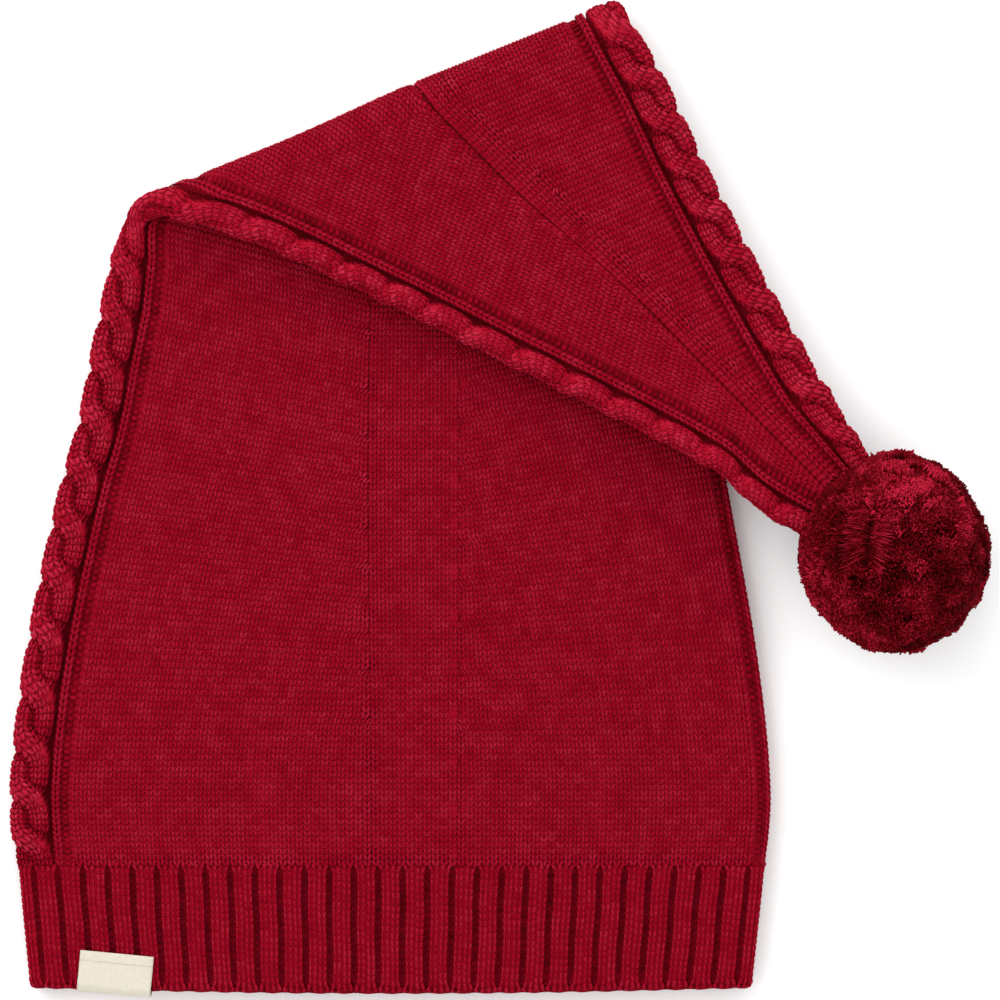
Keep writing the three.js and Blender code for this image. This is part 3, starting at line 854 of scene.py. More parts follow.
# On the ribs the legs stand upright side by side, and on the cables nearly so.
RIB_STITCH = pair_of(spindle([
    (-0.21, -0.62, -0.24 * MM, 0, 0, -0.10),
    (-0.235, -0.05, 0.04 * MM, 0.20, 0.38 * MM, 0.06),
    (-0.265, 0.50, 0.06 * MM, 0.20, 0.38 * MM, 0.06),
    (-0.29, 1.14, -0.26 * MM, 0, 0, -0.10),
], 3))
ROPE_STITCH = pair_of(spindle([
    (-0.10, -0.52, -0.30 * MM, 0, 0, -0.18),
    (-0.18, -0.04, 0.04 * MM, 0.25, 0.32 * MM, 0.06),
    (-0.29, 0.42, 0.06 * MM, 0.25, 0.32 * MM, 0.06),
    (-0.36, 1.02, -0.32 * MM, 0, 0, -0.18),
], 3))
# A purl bump is painted darker at its sunk ends: painted shade.
PURL = spindle([
    (0, -0.40, -0.35 * MM, 0, 0, -0.4),
    (0, -0.18, 0, 0.55, 0.30 * MM, 0.0),
    (0, 0.24, 0, 0.55, 0.30 * MM, 0.0),
    (0, 0.48, -0.35 * MM, 0, 0, -0.4),
], 4)


def length_of_yarn(stations):
    """A three-sided length of yarn with blunt ends. It runs from 0 to 1 along."""
    points, light, faces, flat = [], [], [], []
    count = len(stations)
    for along, wide, tone in stations:
        for k in range(3):
            angle = 2 * math.pi * k / 3
            points.append((wide * math.cos(angle), along, wide * math.sin(angle)))
            light.append(tone)
    for ring in range(count - 1):
        for k in range(3):
            a, b = 3 * ring + k, 3 * ring + (k + 1) % 3
            faces.append((a, a + 3, b + 3, b))
            u0, u1 = k / 3, (k + 1) / 3
            v0, v1 = 0.8 * ring / (count - 1), 0.8 * (ring + 1) / (count - 1)
            flat.append(((u0, v0), (u0, v1), (u1, v1), (u1, v0)))
    last = 3 * count - 3
    faces += [(last + 2, last + 1, last), (0, 1, 2)]
    flat += [((0, 0.85), (0.15, 1), (0.3, 0.85)), ((0.5, 0.85), (0.65, 1), (0.8, 0.85))]
    return np.array(points), np.array(light), faces, flat


def clipped_end():
    """The clipped end of a strand, which narrows to a point inside the pompom."""
    points = [(math.cos(2 * math.pi * k / 3), 1, math.sin(2 * math.pi * k / 3)) for k in range(3)]
    faces = [(k, (k + 1) % 3, 3) for k in range(3)] + [(2, 1, 0)]
    flat = [((k / 3, 0.8), ((k + 1) / 3, 0.8), ((k + 0.5) / 3, 0)) for k in range(3)]
    flat.append(((0.3, 0.85), (0.15, 1), (0, 0.85)))
    # Painted highlight at the clipped tip and painted shade at the point deep inside the pompom.
    return np.array(points + [(0, 0, 0)]), np.array([0.15, 0.15, 0.15, -0.7]), faces, flat


CLIPPED_END = clipped_end()
# A long thread is painted darker towards its start, where it dives into the pompom: painted shade.
LONG_THREAD = length_of_yarn([(k / 5, 1.0, 0.1 * k - 0.35) for k in range(6)])


# ---------- Plain knitting ----------
def wale_width(side, face, course):
    """Wales keep their width, except just over the cuff, which draws them in."""
    space = room(side, face, course) - BORDER
    full = room(side, face, FULL_COURSE) - BORDER
    return space, WALE * np.where(course < FULL_COURSE, space / full, 1)


def wale_count(side, face, course):
    space, width = wale_width(side, face, course)
    return np.maximum(np.round(space / width), 0)


def wale_offset(side, face, course, wale):
    """How far a wale lies past the border. The last few share what narrowing leaves over, and
    move across over some courses."""
    low = np.floor(course)
    t = course - low
    shares = ((1 - t) ** 3, 3 * t**3 - 6 * t**2 + 4, 3 * (t + t**2 - t**3) + 1, t**3)
    offset = 0
    for step, part in enumerate(shares):
        space, width = wale_width(side, face, low + step - 1)
        count = np.maximum(np.round(space / width), 0)
        left_over = (space - count * width) * np.exp((wale - count) / LAST_WALES)
        offset = offset + part / 6 * (wale * width + left_over)
    return offset


def first_bulge(at):
    return FIRST_COURSE_BULGE * np.exp(-(((at - BULGE_COURSE) / BULGE_COURSES) ** 2))


def strip_mark(side, face, at, from_strip):
    """Beside the strip the stitches are joined in pairs at even distances. Some of the pairs
    stand up and some sink in, and along one side of the tail the cloth has a sharp crease."""
    if face < 0 and side == 1:
        smoothed = 1 - SMOOTHED * np.exp(-(((at - SMOOTH_COURSE) / SMOOTH_COURSES) ** 2))
        return -CREASE_DEPTH * smoothed * np.exp(-((from_strip / CREASE_HALF) ** 2))
    every = PAIR_COURSES[side, face]
    from_pair = (at - PAIR_COURSE + every / 2) % every - every / 2
    pair = np.exp(-((from_pair / PAIR_HEIGHT) ** 2))
    return PAIR_RISE[side, face] * pair * np.exp(-((from_strip / PAIR_HALF) ** 2))


def panel_spot(side, face, at, lane, across, raised):
    offset = wale_offset(side, face, at, lane + 0.5 + across)
    from_strip = room(side, face, at) - BORDER - offset
    mark = strip_mark(side, face, at, from_strip)
    return beside_cable(side, face, BORDER + offset, at, raised + first_bulge(at) + mark)


def strip_wales(face, at):
    middle = middle_height(face, at)
    width = strip_side(face, 2, middle) - strip_side(face, 1, middle)
    return np.maximum(np.round(width / WALE), 1)


def middle_spot(side, face, at, lane, across, raised):
    count = strip_wales(face, np.floor(np.broadcast_to(at, np.broadcast(at, lane).shape)[:, :1]))
    share = (lane + 0.5 + across) / count
    wide = count * WALE
    mark = strip_mark(1, face, at, share * wide) + strip_mark(2, face, at, (1 - share) * wide)
    return strip_spot(face, share, at, raised + first_bulge(at) + mark)


def stitch_tone(spot, side, face, course, lane):
    """How light a stitch is: its own chance, with painted shade and highlight where the marks by the strip
    sink in or stand up.
    """
    tone = uneven(len(course), STITCH_UNEVEN)
    if spot is panel_spot:
        at = true_course(spot, side, face, course + STITCH_MIDDLE, lane)
        offset = wale_offset(side, face, at, lane + 0.5)
        mark = strip_mark(side, face, at, room(side, face, at) - BORDER - offset)
        tone += (mark * MARK_PAINTED_LIGHT)[:, 0]
    # Purl bumps lie in a groove and are painted darker: painted shade.
    if spot is purl_spot:
        tone += uneven(len(course), PURL_UNEVEN) - PURL_PAINTED_SHADE
    return tone


def grown(at):
    """The border's relief grows out of the cuff over its first courses."""
    return smoothstep(at, *BORDER_GROWS)


def column_spot(side, face, at, lane, across, raised):
    """The single knit wale between a cable's two grooves."""
    raised = raised + COLUMN_RISE * grown(at) + 0 * lane
    return beside_cable(side, face, COLUMN_AT + across * WALE, at, raised)


def purl_spot(side, face, at, lane, across, raised):
    """A purl bump in the outer groove. Each one is pulled a little to one side, and deeper."""
    number = np.round(at)
    pulled = PURL_WANDER * np.sin(PULL_TURN * number + PULL_UNEVEN * np.sin(PULL_CHANGE * number))
    raised = raised - GROOVE_DEPTH * grown(at) - np.abs(pulled)
    return beside_cable(side, face, PURL_AT + across * WALE + pulled, at, raised + 0 * lane)


def true_course(spot, side, face, knitted, lane):
    """The back goes the long way round the fold, and has more courses there than the front. This
    gives the front's course beside one of the back's."""
    if face > 0:
        return knitted
    low, high = knitted - FOLD_COURSES, knitted
    for _ in range(HALVINGS):
        middle = (low + high) / 2
        x, y, _, _ = spot(side, face, middle, lane, 0.0, 0.0)
        past_it = middle + FOLD_COURSES * np.clip(past_fold(x, y) / BEND_LENGTH, 0, 1) > knitted
        low, high = np.where(past_it, low, middle), np.where(past_it, middle, high)
    return (low + high) / 2


def laid(form, spot, side, face, course, lane):
    """Where copies of a form go, one on each course and lane."""
    across, along, raised = form[0].T[:, None, :]
    ends = [true_course(spot, side, face, course + step, lane) for step in LAID_AT]
    at = 0
    for k in range(len(LAID_AT) - 1):
        low, high = LAID_AT[k], LAID_AT[k + 1]
        start = -math.inf if k == 0 else low
        stop = math.inf if k == len(LAID_AT) - 2 else high
        here = (along >= start) & (along < stop)
        at = at + here * (ends[k] + (ends[k + 1] - ends[k]) * (along - low) / (high - low))
    return settle(*spot(side, face, at, lane, across, raised))


def uneven(count, spread):
    return rng.normal(0, spread, count)


def knitted_rows(spot, side, face, lanes, kept):
    """The course and lane of every stitch of a part, and where its middle lies in the flat hat."""
    courses = LAST_COURSE + (FOLD_COURSES if face < 0 else 0)
    grid = np.meshgrid(np.arange(courses), np.arange(lanes))
    course, lane = (a.reshape(-1, 1).astype(float) for a in grid)
    at = true_course(spot, side, face, course, lane)
    keep = (lane < kept(at))[:, 0]
    course, lane, at = course[keep], lane[keep], at[keep]
    x, y, _, _ = spot(side, face, at, lane, 0.0, 0.0)
    return course, lane, x[:, 0], y[:, 0]


knitting = []
for face in (1, -1):
    knitting.append((middle_spot, 0, face, MOST_STRIP_WALES, partial(strip_wales, face)))
    for side in (1, 2):
        knitting.append((panel_spot, side, face, MOST_PANEL_WALES, partial(wale_count, side, face)))
        knitting.append((column_spot, side, face, 1, np.ones_like))
        knitting.append((purl_spot, side, face, 1, np.ones_like))

groups = {}
for spot, side, face, lanes, kept in knitting:
    course, lane, x, y = knitted_rows(spot, side, face, lanes, kept)
    seen, shut = in_sight(x, y, face), inside_fold(x, y, face)
    part, half = ("front" if face > 0 else "back"), ("left" if side == 1 else "right")
    detailed, simple, kind = STITCH, PLAIN_STITCH, "stitches"
    if spot is purl_spot:
        detailed, simple, kind = PURL, PURL, "purls"
    top = f"front_{half}_{kind}" if face > 0 else f"tail_top_{kind}"
    for keep, form, name in ((seen, detailed, top), (~seen & ~shut, simple, f"{part}_under_{kind}")):
        if keep.any():
            places = laid(form, spot, side, face, course[keep], lane[keep])
            tones = stitch_tone(spot, side, face, course[keep], lane[keep])
            groups.setdefault((name, part), []).append((form, places, tones))

stitch_pieces = {"front": [], "back": []}
for (name, part), batches in groups.items():
    forms, places, tones = zip(*batches)
    stitches = joined(name, forms[0], np.concatenate(places), np.concatenate(tones), PLAIN_YARN)
    stitch_pieces[part].append(stitches)


# ---------- The cloth under the stitches ----------
def cloth(name, columns, rows, place, material):
    """A closed thin cloth, from a grid whose outer and inner side are laid by place."""
    bm, (column, row, inner) = two_sided(len(columns) - 1, len(rows) - 1)
    course = np.array(rows)[row]
    spots, wale, shade = place(np.array(columns)[column], course, inner)
    return sewn(name, bm, settle(*spots), material, wale=wale, course=course, tone=shade)


def under_stitches(away):
    """How deep the cloth lies under the border's grooves and the plain knitting."""
    return -np.interp(away, BORDER_STEPS, BORDER_DEPTHS)


def panel_place(face, column, row, inner):
    """column runs over 0-1 the left border, 1-2 the left wales, 2-3 the strip, 3-4 and 4-5 right."""
    side = np.where(column < 2.5, 1, 2)
    share = np.where(side == 1, column, 5 - column)
    spots = []
    for s in (1, 2):
        narrowed = fit(s, face, row)
        border = BORDER * np.clip(share, 0, 1)
        edge_away = CABLE_HALF + (BORDER - CABLE_HALF) * np.clip(share, 0, 1)
        away = edge_away * narrowed
        away += np.maximum(share - 1, 0) * np.maximum(room(s, face, row) - BORDER * narrowed, 0)
        crease = strip_mark(1, -1, row, (2 - share) * CREASE_REACH) if face < 0 and s == 1 else 0
        relief = LEAST_RELIEF + (1 - LEAST_RELIEF) * grown(row)
        outer = under_stitches(edge_away + np.maximum(share - 1, 0)) * relief + crease
        raised = np.where(inner > 0, -WALL, outer)
        arc = cable_middle(s, row) + towards(s, face) * away
        spots.append((edge_spot(s, arc, row, raised), away / WALE))
    crease = strip_mark(1, -1, row, (column - 2) * STRIP_REACH) * (face < 0)
    raised = np.where(inner > 0, -WALL, crease - PLAIN_DEPTH)
    strip = (strip_spot(face, column - 2, row, raised), (column - 2) * STRIP_WALES)
    choice = [(column >= 2) & (column <= 3), side == 1]
    flat = [
        np.select(choice, [np.broadcast_to(a, column.shape), b], c)
        for a, b, c in zip(strip[0], spots[0][0], spots[1][0])
    ]
    # The cloth is painted darker where it lies deep in the border's grooves and in the crease: painted
    # shade.
    deep = np.interp(np.minimum(share, 1), BORDER_SHARES, BORDER_DEPTHS) * grown(row)
    deep += CREASE_DEPTH * (crease < -CREASE_SHOWS)
    return flat, np.select(choice, [strip[1], spots[0][1]], spots[1][1]), -deep * DEPTH_PAINTED_SHADE


plain_columns = [1 + k / PLAIN_COLUMNS for k in range(PLAIN_COLUMNS)]
half_columns = list(BORDER_SHARES[:-1]) + plain_columns + [LAST_PLAIN_COLUMN]
strip_columns = list(np.linspace(2, 3, STRIP_COLUMNS))
panel_columns = half_columns + strip_columns + [5 - c for c in reversed(half_columns)]
# The rows are closest together over the fold.
panel_rows = [0.0, 1.5] + list(np.arange(3, 93, 2.5)) + list(np.arange(93, 168, 1.0))
panel_rows += list(np.arange(168, LAST_COURSE, 3.0)) + [LAST_COURSE + 0.5]
front_cloth = cloth("front_cloth", panel_columns, panel_rows, partial(panel_place, 1), KNITTED_CLOTH)
back_cloth = cloth("back_cloth", panel_columns, panel_rows, partial(panel_place, -1), KNITTED_CLOTH)


# ---------- Cables ----------
def strand_phase(strand, course):
    return math.pi * (course / CABLE_CROSSING + strand)


def strand_away(phase):
    """A strand sweeps slowly over the other one, and goes back quickly under it."""
    way = np.cos(phase)
    over, under = way * (5 - way**2) / 4, way * (15 - 10 * way**2 + 3 * way**4) / 8
    return STRAND_SWING * np.where(np.sin(phase) > 0, over, under)


def strand_lean(phase):
    """How far a strand leans from the hat's length as it crosses over."""
    way = np.cos(phase)
    turning = np.where(np.sin(phase) > 0, (5 - 3 * way**2) / 4, 15 * (1 - way**2) ** 2 / 8)
    slope = -STRAND_SWING * turning * np.sin(phase) * math.pi / CABLE_CROSSING
    return np.arctan(slope / COURSE_HEIGHT)


def strand_rise(phase, over, course):
    """A strand's height where it is this far over from its middle. It grows out of the cuff."""
    crown = STRAND_CROWN * np.sqrt(np.clip(1 - (over / STRAND_HALF) ** 2, 0, 1))
    rise = STRAND_LIFT * np.sin(phase) ** 3 + crown - STRAND_SUNK
    return rise * smoothstep(course, *STRAND_GROWS)


def strand_top(strand, away, course):
    """How high one strand stands, away from the cable's middle line."""
    phase = strand_phase(strand, course)
    over = (away - strand_away(phase)) * np.cos(strand_lean(phase))
    floor = -CABLE_FLOOR * smoothstep(course, *FLOOR_SINKS)
    rise = np.where(np.abs(over) < STRAND_HALF, strand_rise(phase, over, course), floor)
    return np.maximum(rise, floor)


def between_strands(side, away, course):
    """1 on the line where one strand passes under the other, and 0 away from it."""
    first, second = (strand_top(strand, away, course) for strand in (0, 1))
    on_rope = smoothstep(np.maximum(first, second), -CABLE_FLOOR, 0) * smoothstep(course, *LINE_STARTS)
    on_rope = on_rope * (1 - LINE_LOST_ON_TAIL * on_tail(side, course))
    return np.exp(-(((first - second) / STRAND_LINE) ** 2)) * on_rope


def on_tail(side, course):
    """1 along the tail's lower edge, where the left cable is pulled long."""
    return smoothstep(course, *TAIL_STARTS) * (side == 1)


def pressed_flat(side, away, course):
    """Both cables are drawn tight over the fold, and the right one lies under the body."""
    from_fold = (course - PRESSED_COURSE[side]) / PRESSED_COURSES
    tight = PRESSED_AT_FOLD[side] * np.exp(-(from_fold**2))
    if side == 1:
        return (1 - tight) * (1 - PRESSED_ON_TAIL * on_tail(side, course))
    under = PRESSED_UNDER * (1 - smoothstep(course, *UNDER_ENDS)) * smoothstep(-away, *UNDER_BAND)
    return (1 - under) * (1 - tight)


def cable_spot(side, away, course, raised):
    narrowed = np.minimum(fit(side, 1, course), fit(side, -1, course))
    raised = np.where(raised > 0, raised * pressed_flat(side, away, course), raised)
    return edge_spot(side, cable_middle(side, course) + away * narrowed, course, raised * narrowed)


def strand_place(strand, at, over):
    """Where a stitch of a strand lies: it stands square to the way the strand runs."""
    lean = strand_lean(strand_phase(strand, at))
    away = strand_away(strand_phase(strand, at)) + over * np.cos(lean)
    return away, at - over * np.sin(lean) / COURSE_HEIGHT


# Painted shade where the rope lies below its middle height, and painted highlight above it, up to a limit.
def painted_rope_light(rise):
    return np.minimum((rise - ROPE_MIDDLE_RISE) * ROPE_PAINTED_SHADING, ROPE_MOST_HIGHLIGHT)


def cable_place(side, column, row, inner):
    rise = np.maximum(strand_top(0, column, row), strand_top(1, column, row))
    line = between_strands(side, column, row)
    raised = np.where(inner > 0, -WALL, rise - STRAND_DEPTH - STRAND_LINE_DEPTH * line)
    # The rope's painted shade and highlight, and painted shade along the line between the strands.
    tone = painted_rope_light(rise) - STRAND_LINE_PAINTED_SHADE * line
    return cable_spot(side, column, row, raised), column / STRAND_WALE, tone


def cable(side, name, node):
    columns = list(np.linspace(-CABLE_HALF, CABLE_HALF, ROPE_COLUMNS))
    rows = list(np.arange(0, LAST_COURSE + 0.6, ROPE_ROW))
    body = cloth(f"{name}_cloth", columns, rows, partial(cable_place, side), CABLE_YARN)
    places, tones = [], []
    grid = np.meshgrid(STRAND_LANES, np.arange(LAST_COURSE).astype(float))
    lane, course = (a.reshape(-1, 1) for a in grid)
    across, along, raised = ROPE_STITCH[0].T[:, None, :]
    for strand in (0, 1):
        away, beside = strand_place(strand, course + STITCH_MIDDLE, lane * STRAND_WALE)
        own, other = (strand_top(k, away, beside) for k in (strand, 1 - strand))
        top = (other - own < STRAND_HIDDEN)[:, 0]
        at, over = course[top] + along, (lane[top] + across) * STRAND_WALE
        away, beside = strand_place(strand, at, over)
        rise = strand_rise(strand_phase(strand, at), over, at)
        line = between_strands(side, away, beside)
        places.append(settle(*cable_spot(side, away, beside, raised + rise - STRAND_LINE_DEPTH * line)))
        # The stitches take the same painted shade and highlight, fainter along the tail.
        plainer = 1 - PAINTED_LIGHT_LOST_ON_TAIL * on_tail(side, at)
        tones.append(painted_rope_light(rise) * plainer - STRAND_LINE_PAINTED_SHADE * line)
    places, tones = np.concatenate(places), np.concatenate(tones)
    tones += uneven(len(places), ROPE_UNEVEN)[:, None]
    stitches = joined(f"{name}_stitches", ROPE_STITCH, places, tones, CABLE_YARN)
    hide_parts(node)
    return body, stitches


left_rope, left_rope_stitches = cable(1, "left_rope", "left_cable")
right_rope, right_rope_stitches = cable(2, "right_rope", "right_cable")


# ---------- Ribbed cuff ----------
def rib_rise(share, up):
    """The rib's rounded crest, and the deep groove beside it, which closes at both ends."""
    from_crest = np.abs((share - CREST_AT + 0.5) % 1 - 0.5) / RIB_WALE
    groove = smoothstep(from_crest, *RIB_GROOVE)
    top = 1 - smoothstep(up, *(CUFF_HEIGHT + GROOVE_TOP))
    bottom = smoothstep(up, *GROOVE_BOTTOM)
    rim = RIM_ROUND * np.exp(-((up / RIM_ROUND_HEIGHT) ** 2))
    return -(RIB_DEPTH * groove + CREST_ROUND * np.minimum(from_crest, 1) ** 2) * top * bottom - rim


def cuff_ring():
    """A closed ring of ribs, extruded round the outer side, the rim, the lining and the top."""
    count = RIBS * RIB_STEPS
    outer = list(np.linspace(0, 1, CUFF_LEVELS) * CUFF_HEIGHT)
    profile = [(up, 0) for up in outer] + [(up, 1) for up in reversed(outer)]
    bm = bmesh.new()
    bmesh.ops.create_circle(bm, segments=count, radius=1)
    number, step = [bm.verts.layers.int.new(word) for word in ("number", "step")]
    for vertex in bm.verts:
        angle = math.atan2(vertex.co.y, vertex.co.x) % (2 * math.pi)
        vertex[number] = round(angle / (2 * math.pi) * count) % count
    first = edges = bm.edges[:]
    for k in range(1, len(profile)):
        added = bmesh.ops.extrude_edge_only(bm, edges=edges)["geom"]
        for item in added:
            if isinstance(item, bmesh.types.BMVert):
                item[step] = k
        edges = [item for item in added if isinstance(item, bmesh.types.BMEdge)]
    bmesh.ops.bridge_loops(bm, edges=first + edges)
    turn = np.array([v[number] for v in bm.verts]) / count
    ups, inner = (np.array(values)[[v[step] for v in bm.verts]] for values in zip(*profile))
    rise = rib_rise(turn * RIBS % 1, ups)
    raised = np.where(inner > 0, -CUFF_WALL - 0.5 * rise, rise - RIB_CLOTH_DEPTH)
    places = settle(*cuff_spot(turn, ups, raised))
    # Painted shade in the grooves and under the stitches.
    return sewn("cuff_cloth", bm, places, RIB_YARN, tone=rise * RIB_PAINTED_SHADE - RIB_CLOTH_PAINTED_SHADE)


def rib_spot(rib, share, wide, depth, course, across, along, raised):
    """A flat place on a stitch of the cuff. share and wide say where it is on its rib."""
    up = (course + RIB_STITCHES_START + along) * CUFF_HEIGHT / CUFF_COURSES
    up = np.clip(up, RIB_STITCHES_KEPT[0], CUFF_HEIGHT + RIB_STITCHES_KEPT[1])
    flare = 1 - smoothstep(up, *RIB_FLARE_BOTTOM) + smoothstep(up, *(CUFF_HEIGHT + RIB_FLARE_TOP))
    at = CREST_AT + (share + across * wide - CREST_AT) * (1 + RIB_FLARE * flare)
    return cuff_spot((rib + at) / RIBS, up, raised + rib_rise(at, up) - depth)


def rib_rows(lanes):
    """The rib, the lane on it and the course of every stitch."""
    numbers = np.meshgrid(np.arange(RIBS), lanes, np.arange(CUFF_COURSES), indexing="ij")
    return (a.reshape(-1, 1) for a in numbers)


def rib_stitch_piece(name, form, share, wide, depth, rib, course, spread, darker):
    """All the cuff's stitches of one form, on one share of every rib's width."""
    across, along, raised = form[0].T[:, None, :]
    places = settle(*rib_spot(rib, share, wide, depth, course, across, along, raised))
    return joined(name, form, places, uneven(len(places), spread) - darker, RIB_YARN)


cuff_cloth = cuff_ring()
rib, lane, course = rib_rows([-0.5, 0.5])
shifts = rng.uniform(-RIB_COURSE_SHIFT, RIB_COURSE_SHIFT, (RIBS, 2, 1))
course = course + shifts.repeat(CUFF_COURSES, 2).reshape(-1, 1)
rib_stitches = rib_stitch_piece(
    "cuff_stitches", RIB_STITCH, CREST_AT + lane * RIB_WALE, RIB_WALE, 0, rib, course, RIB_UNEVEN, 0,
)
# The purl bumps in the rib grooves are painted darker: painted shade.
rib, lane, course = rib_rows([0])
groove_purls = rib_stitch_piece(
    "cuff_purls", PURL, GROOVE_AT, RIB_PURL_WIDE, RIB_PURL_DEPTH, rib, course, RIB_PURL_UNEVEN,
    RIB_PURL_PAINTED_SHADE,
)


# ---------- Pompom ----------
pompom_middle = (pompom_low + pompom_high) / 2
POMPOM_RADIUS = (pompom_high.x - pompom_low.x) / 2


def unit(vectors):
    return vectors / np.linalg.norm(vectors, axis=-1)[..., None]


tie = unit(np.array([-0.305, 0.262, 0.916]))
beside_tie = unit(np.cross([0.10, 1.0, 0], tie))
along_tie = np.cross(tie, beside_tie)


def tie_dip(direction):
    """The tie pulls a narrow parting into the pompom, on the side that shows."""
    across, along = direction @ beside_tie, direction @ along_tie
    dip = np.exp(-((across / PARTING_HALF) ** 2) - (along / PARTING_LENGTH) ** 2)
    return np.where(direction @ tie > 0, dip, 0)


def swell(out):
    """Broad, shallow swellings all over the pompom, mostly between -1 and 1."""
    waves = [
        np.sin(out @ rng.normal(*SWELLING_TURNS, 3) + rng.uniform(0, 2 * math.pi))
        for _ in range(SWELLING_WAVES)
    ]
    return sum(waves) * 2 / SWELLING_WAVES


def pompom_core():
    bm = bmesh.new()
    bmesh.ops.create_icosphere(bm, subdivisions=4, radius=1)
    out = np.array([vertex.co.normalized() for vertex in bm.verts])
    reach = POMPOM_RADIUS - STRAND_SHOWS - TIE_DEPTH * tie_dip(out)
    places = np.array(pompom_middle) + out * reach[:, None]
    # The core is painted dark: painted shade.
    return sewn("pompom_core", bm, places, POMPOM_YARN, tone=np.full(len(out), CORE_PAINTED_SHADE))


def square_to(way):
    """Two directions square to each way and to each other, turned at random."""
    across = unit(np.cross(way, rng.normal(0, 1, way.shape)))
    return across, np.cross(way, across)


def scattered(count):
    """Directions spread evenly all round, and then a little unevenly."""
    k = np.arange(count) + 0.5
    level = 1 - 2 * k / count
    swing = k * math.pi * (3 - math.sqrt(5))
    flat = np.sqrt(1 - level**2)
    out = np.stack([flat * np.cos(swing), flat * np.sin(swing), level], -1)
    return unit(out + rng.normal(0, SCATTER, out.shape))


def in_tufts(out):
    """Each strand's tuft, and how far it lies in a cleft between two tufts."""
    middles = unit(rng.normal(0, 1, (TUFTS, 3)))
    nearness = (out + rng.normal(0, TUFT_EDGE_SCATTER, out.shape)) @ middles.T
    tuft = np.argmax(nearness, axis=1)
    second, nearest = np.sort(np.partition(nearness, -2, axis=1)[:, -2:], axis=1).T
    cleft = np.exp(-(nearest - second) / CLEFT_HALF) * (rng.uniform(0, 1, TUFTS) ** 2)[tuft]
    return tuft, cleft


def pompom_strands():
    """Clipped ends of yarn, evenly scattered in uneven tufts. They lean away from the parting."""
    count = POMPOM_STRANDS
    out = scattered(count)
    tuft, cleft = in_tufts(out)
    highlit = out @ POMPOM_HIGHLIGHT_SIDE
    stray = (rng.uniform(0, 1, TUFTS) < STRAY_SHARE)[tuft]
    stray &= (highlit > STRAYS_ON_SIDE) | (out @ POMPOM_TOP > STRAYS_ON_TOP)
    swelling = swell(out)
    across, along = out @ beside_tie, out @ along_tie
    from_band = (np.abs(across) - LEANS_BY_TIE[0]) / LEANS_BY_TIE[1]
    parted = np.exp(-(from_band**2) - (along / PARTING_LENGTH) ** 2) * (out @ tie > 0)
    way = out + beside_tie * (np.sign(across) * LEAN_AT_TIE * parted)[:, None]
    way += rng.normal(*TUFT_LEANS, (TUFTS, 3))[tuft] + rng.normal(*STRAND_LEANS, out.shape)
    way = unit(way)
    way = np.where((way * out).sum(1)[:, None] < LEAST_OUTWARD, out, way)
    reach = POMPOM_RADIUS - TIE_DEPTH * tie_dip(out) + SWELLING * swelling
    reach += rng.normal(*STRAND_DEPTHS, count) + rng.normal(*TUFT_DEPTHS, TUFTS)[tuft]
    reach += STRAY * stray - CLEFT_DEPTH * cleft
    tip = out * np.minimum(reach, POMPOM_RADIUS + MOST_REACH)[:, None]
    length = way * rng.uniform(*STRAND_LENGTHS, count)[:, None]
    wide = rng.uniform(*STRAND_RADII, count)[:, None]
    side_way, other_way = (square * wide for square in square_to(way))
    side_at, length_at, other_at = CLIPPED_END[0].T[:, None, :, None]
    places = tip[:, None] + (length_at - 1) * length[:, None]
    places = places + side_at * side_way[:, None] + other_at * other_way[:, None]
    # Painted highlight on one side and on the rim, which each strand takes in part.
    painted_highlight = np.clip(highlit - HIGHLIGHT_SIDE_STARTS, 0, 1) * HIGHLIGHT_SIDE_TONE
    painted_highlight += HIGHLIGHT_RIM_TONE * np.clip(out @ POMPOM_HIGHLIGHT_RIM - HIGHLIGHT_RIM_STARTS, 0, 1)
    # Painted shade in the clefts and the tie's dip, painted light on the swellings, and painted highlight
    # on stray tufts and beside the parting.
    tones = rng.normal(*STRAND_TONES, count) - CLEFT_PAINTED_SHADE * cleft
    tones += rng.normal(*TUFT_TONES, TUFTS)[tuft] + SWELLING_PAINTED_LIGHT * swelling
    tones += painted_highlight * rng.uniform(*HIGHLIGHTED_STRANDS, count)
    tones += STRAY_PAINTED_HIGHLIGHT * stray + PARTED_PAINTED_HIGHLIGHT * parted - TIE_PAINTED_SHADE * tie_dip(out)
    places = places * POMPOM_LONGER + np.array(pompom_middle)
    places[:, :, 2] = pressed_on_floor(places[:, :, 2])
    return joined("pompom_strands", CLIPPED_END, places, tones, POMPOM_YARN)


def tie_threads():
    """Long threads that lie open on both sides of the parting."""
    count = TIE_THREADS
    hand = np.where(rng.integers(0, 2, count) > 0, 1, -1)
    side_at, steps, other_at = LONG_THREAD[0].T
    start, length = rng.uniform(*THREAD_STARTS, count), rng.uniform(*THREAD_LENGTHS, count)
    across = start[:, None] + length[:, None] * steps
    along = rng.normal(THREADS_ALONG, PARTING_LENGTH / 2, count)[:, None] * (1 + THREAD_SPREAD * steps)
    out = tie + (hand[:, None] * across)[:, :, None] * beside_tie + along[:, :, None] * along_tie
    out = unit(out)
    deep = THREAD_DIVE * (1 - steps) ** 2 + rng.uniform(*THREAD_DEPTHS, count)[:, None]
    wide = rng.uniform(*THREAD_RADII, count)[:, None, None]
    places = out * (POMPOM_RADIUS - deep)[:, :, None] + along_tie * side_at[None, :, None] * wide
    places += out * other_at[None, :, None] * wide + np.array(pompom_middle)
    return joined("pompom_tie_threads", LONG_THREAD, places, rng.normal(*THREAD_TONES, count), POMPOM_YARN)


core = pompom_core()
strands = pompom_strands()
threads = tie_threads()


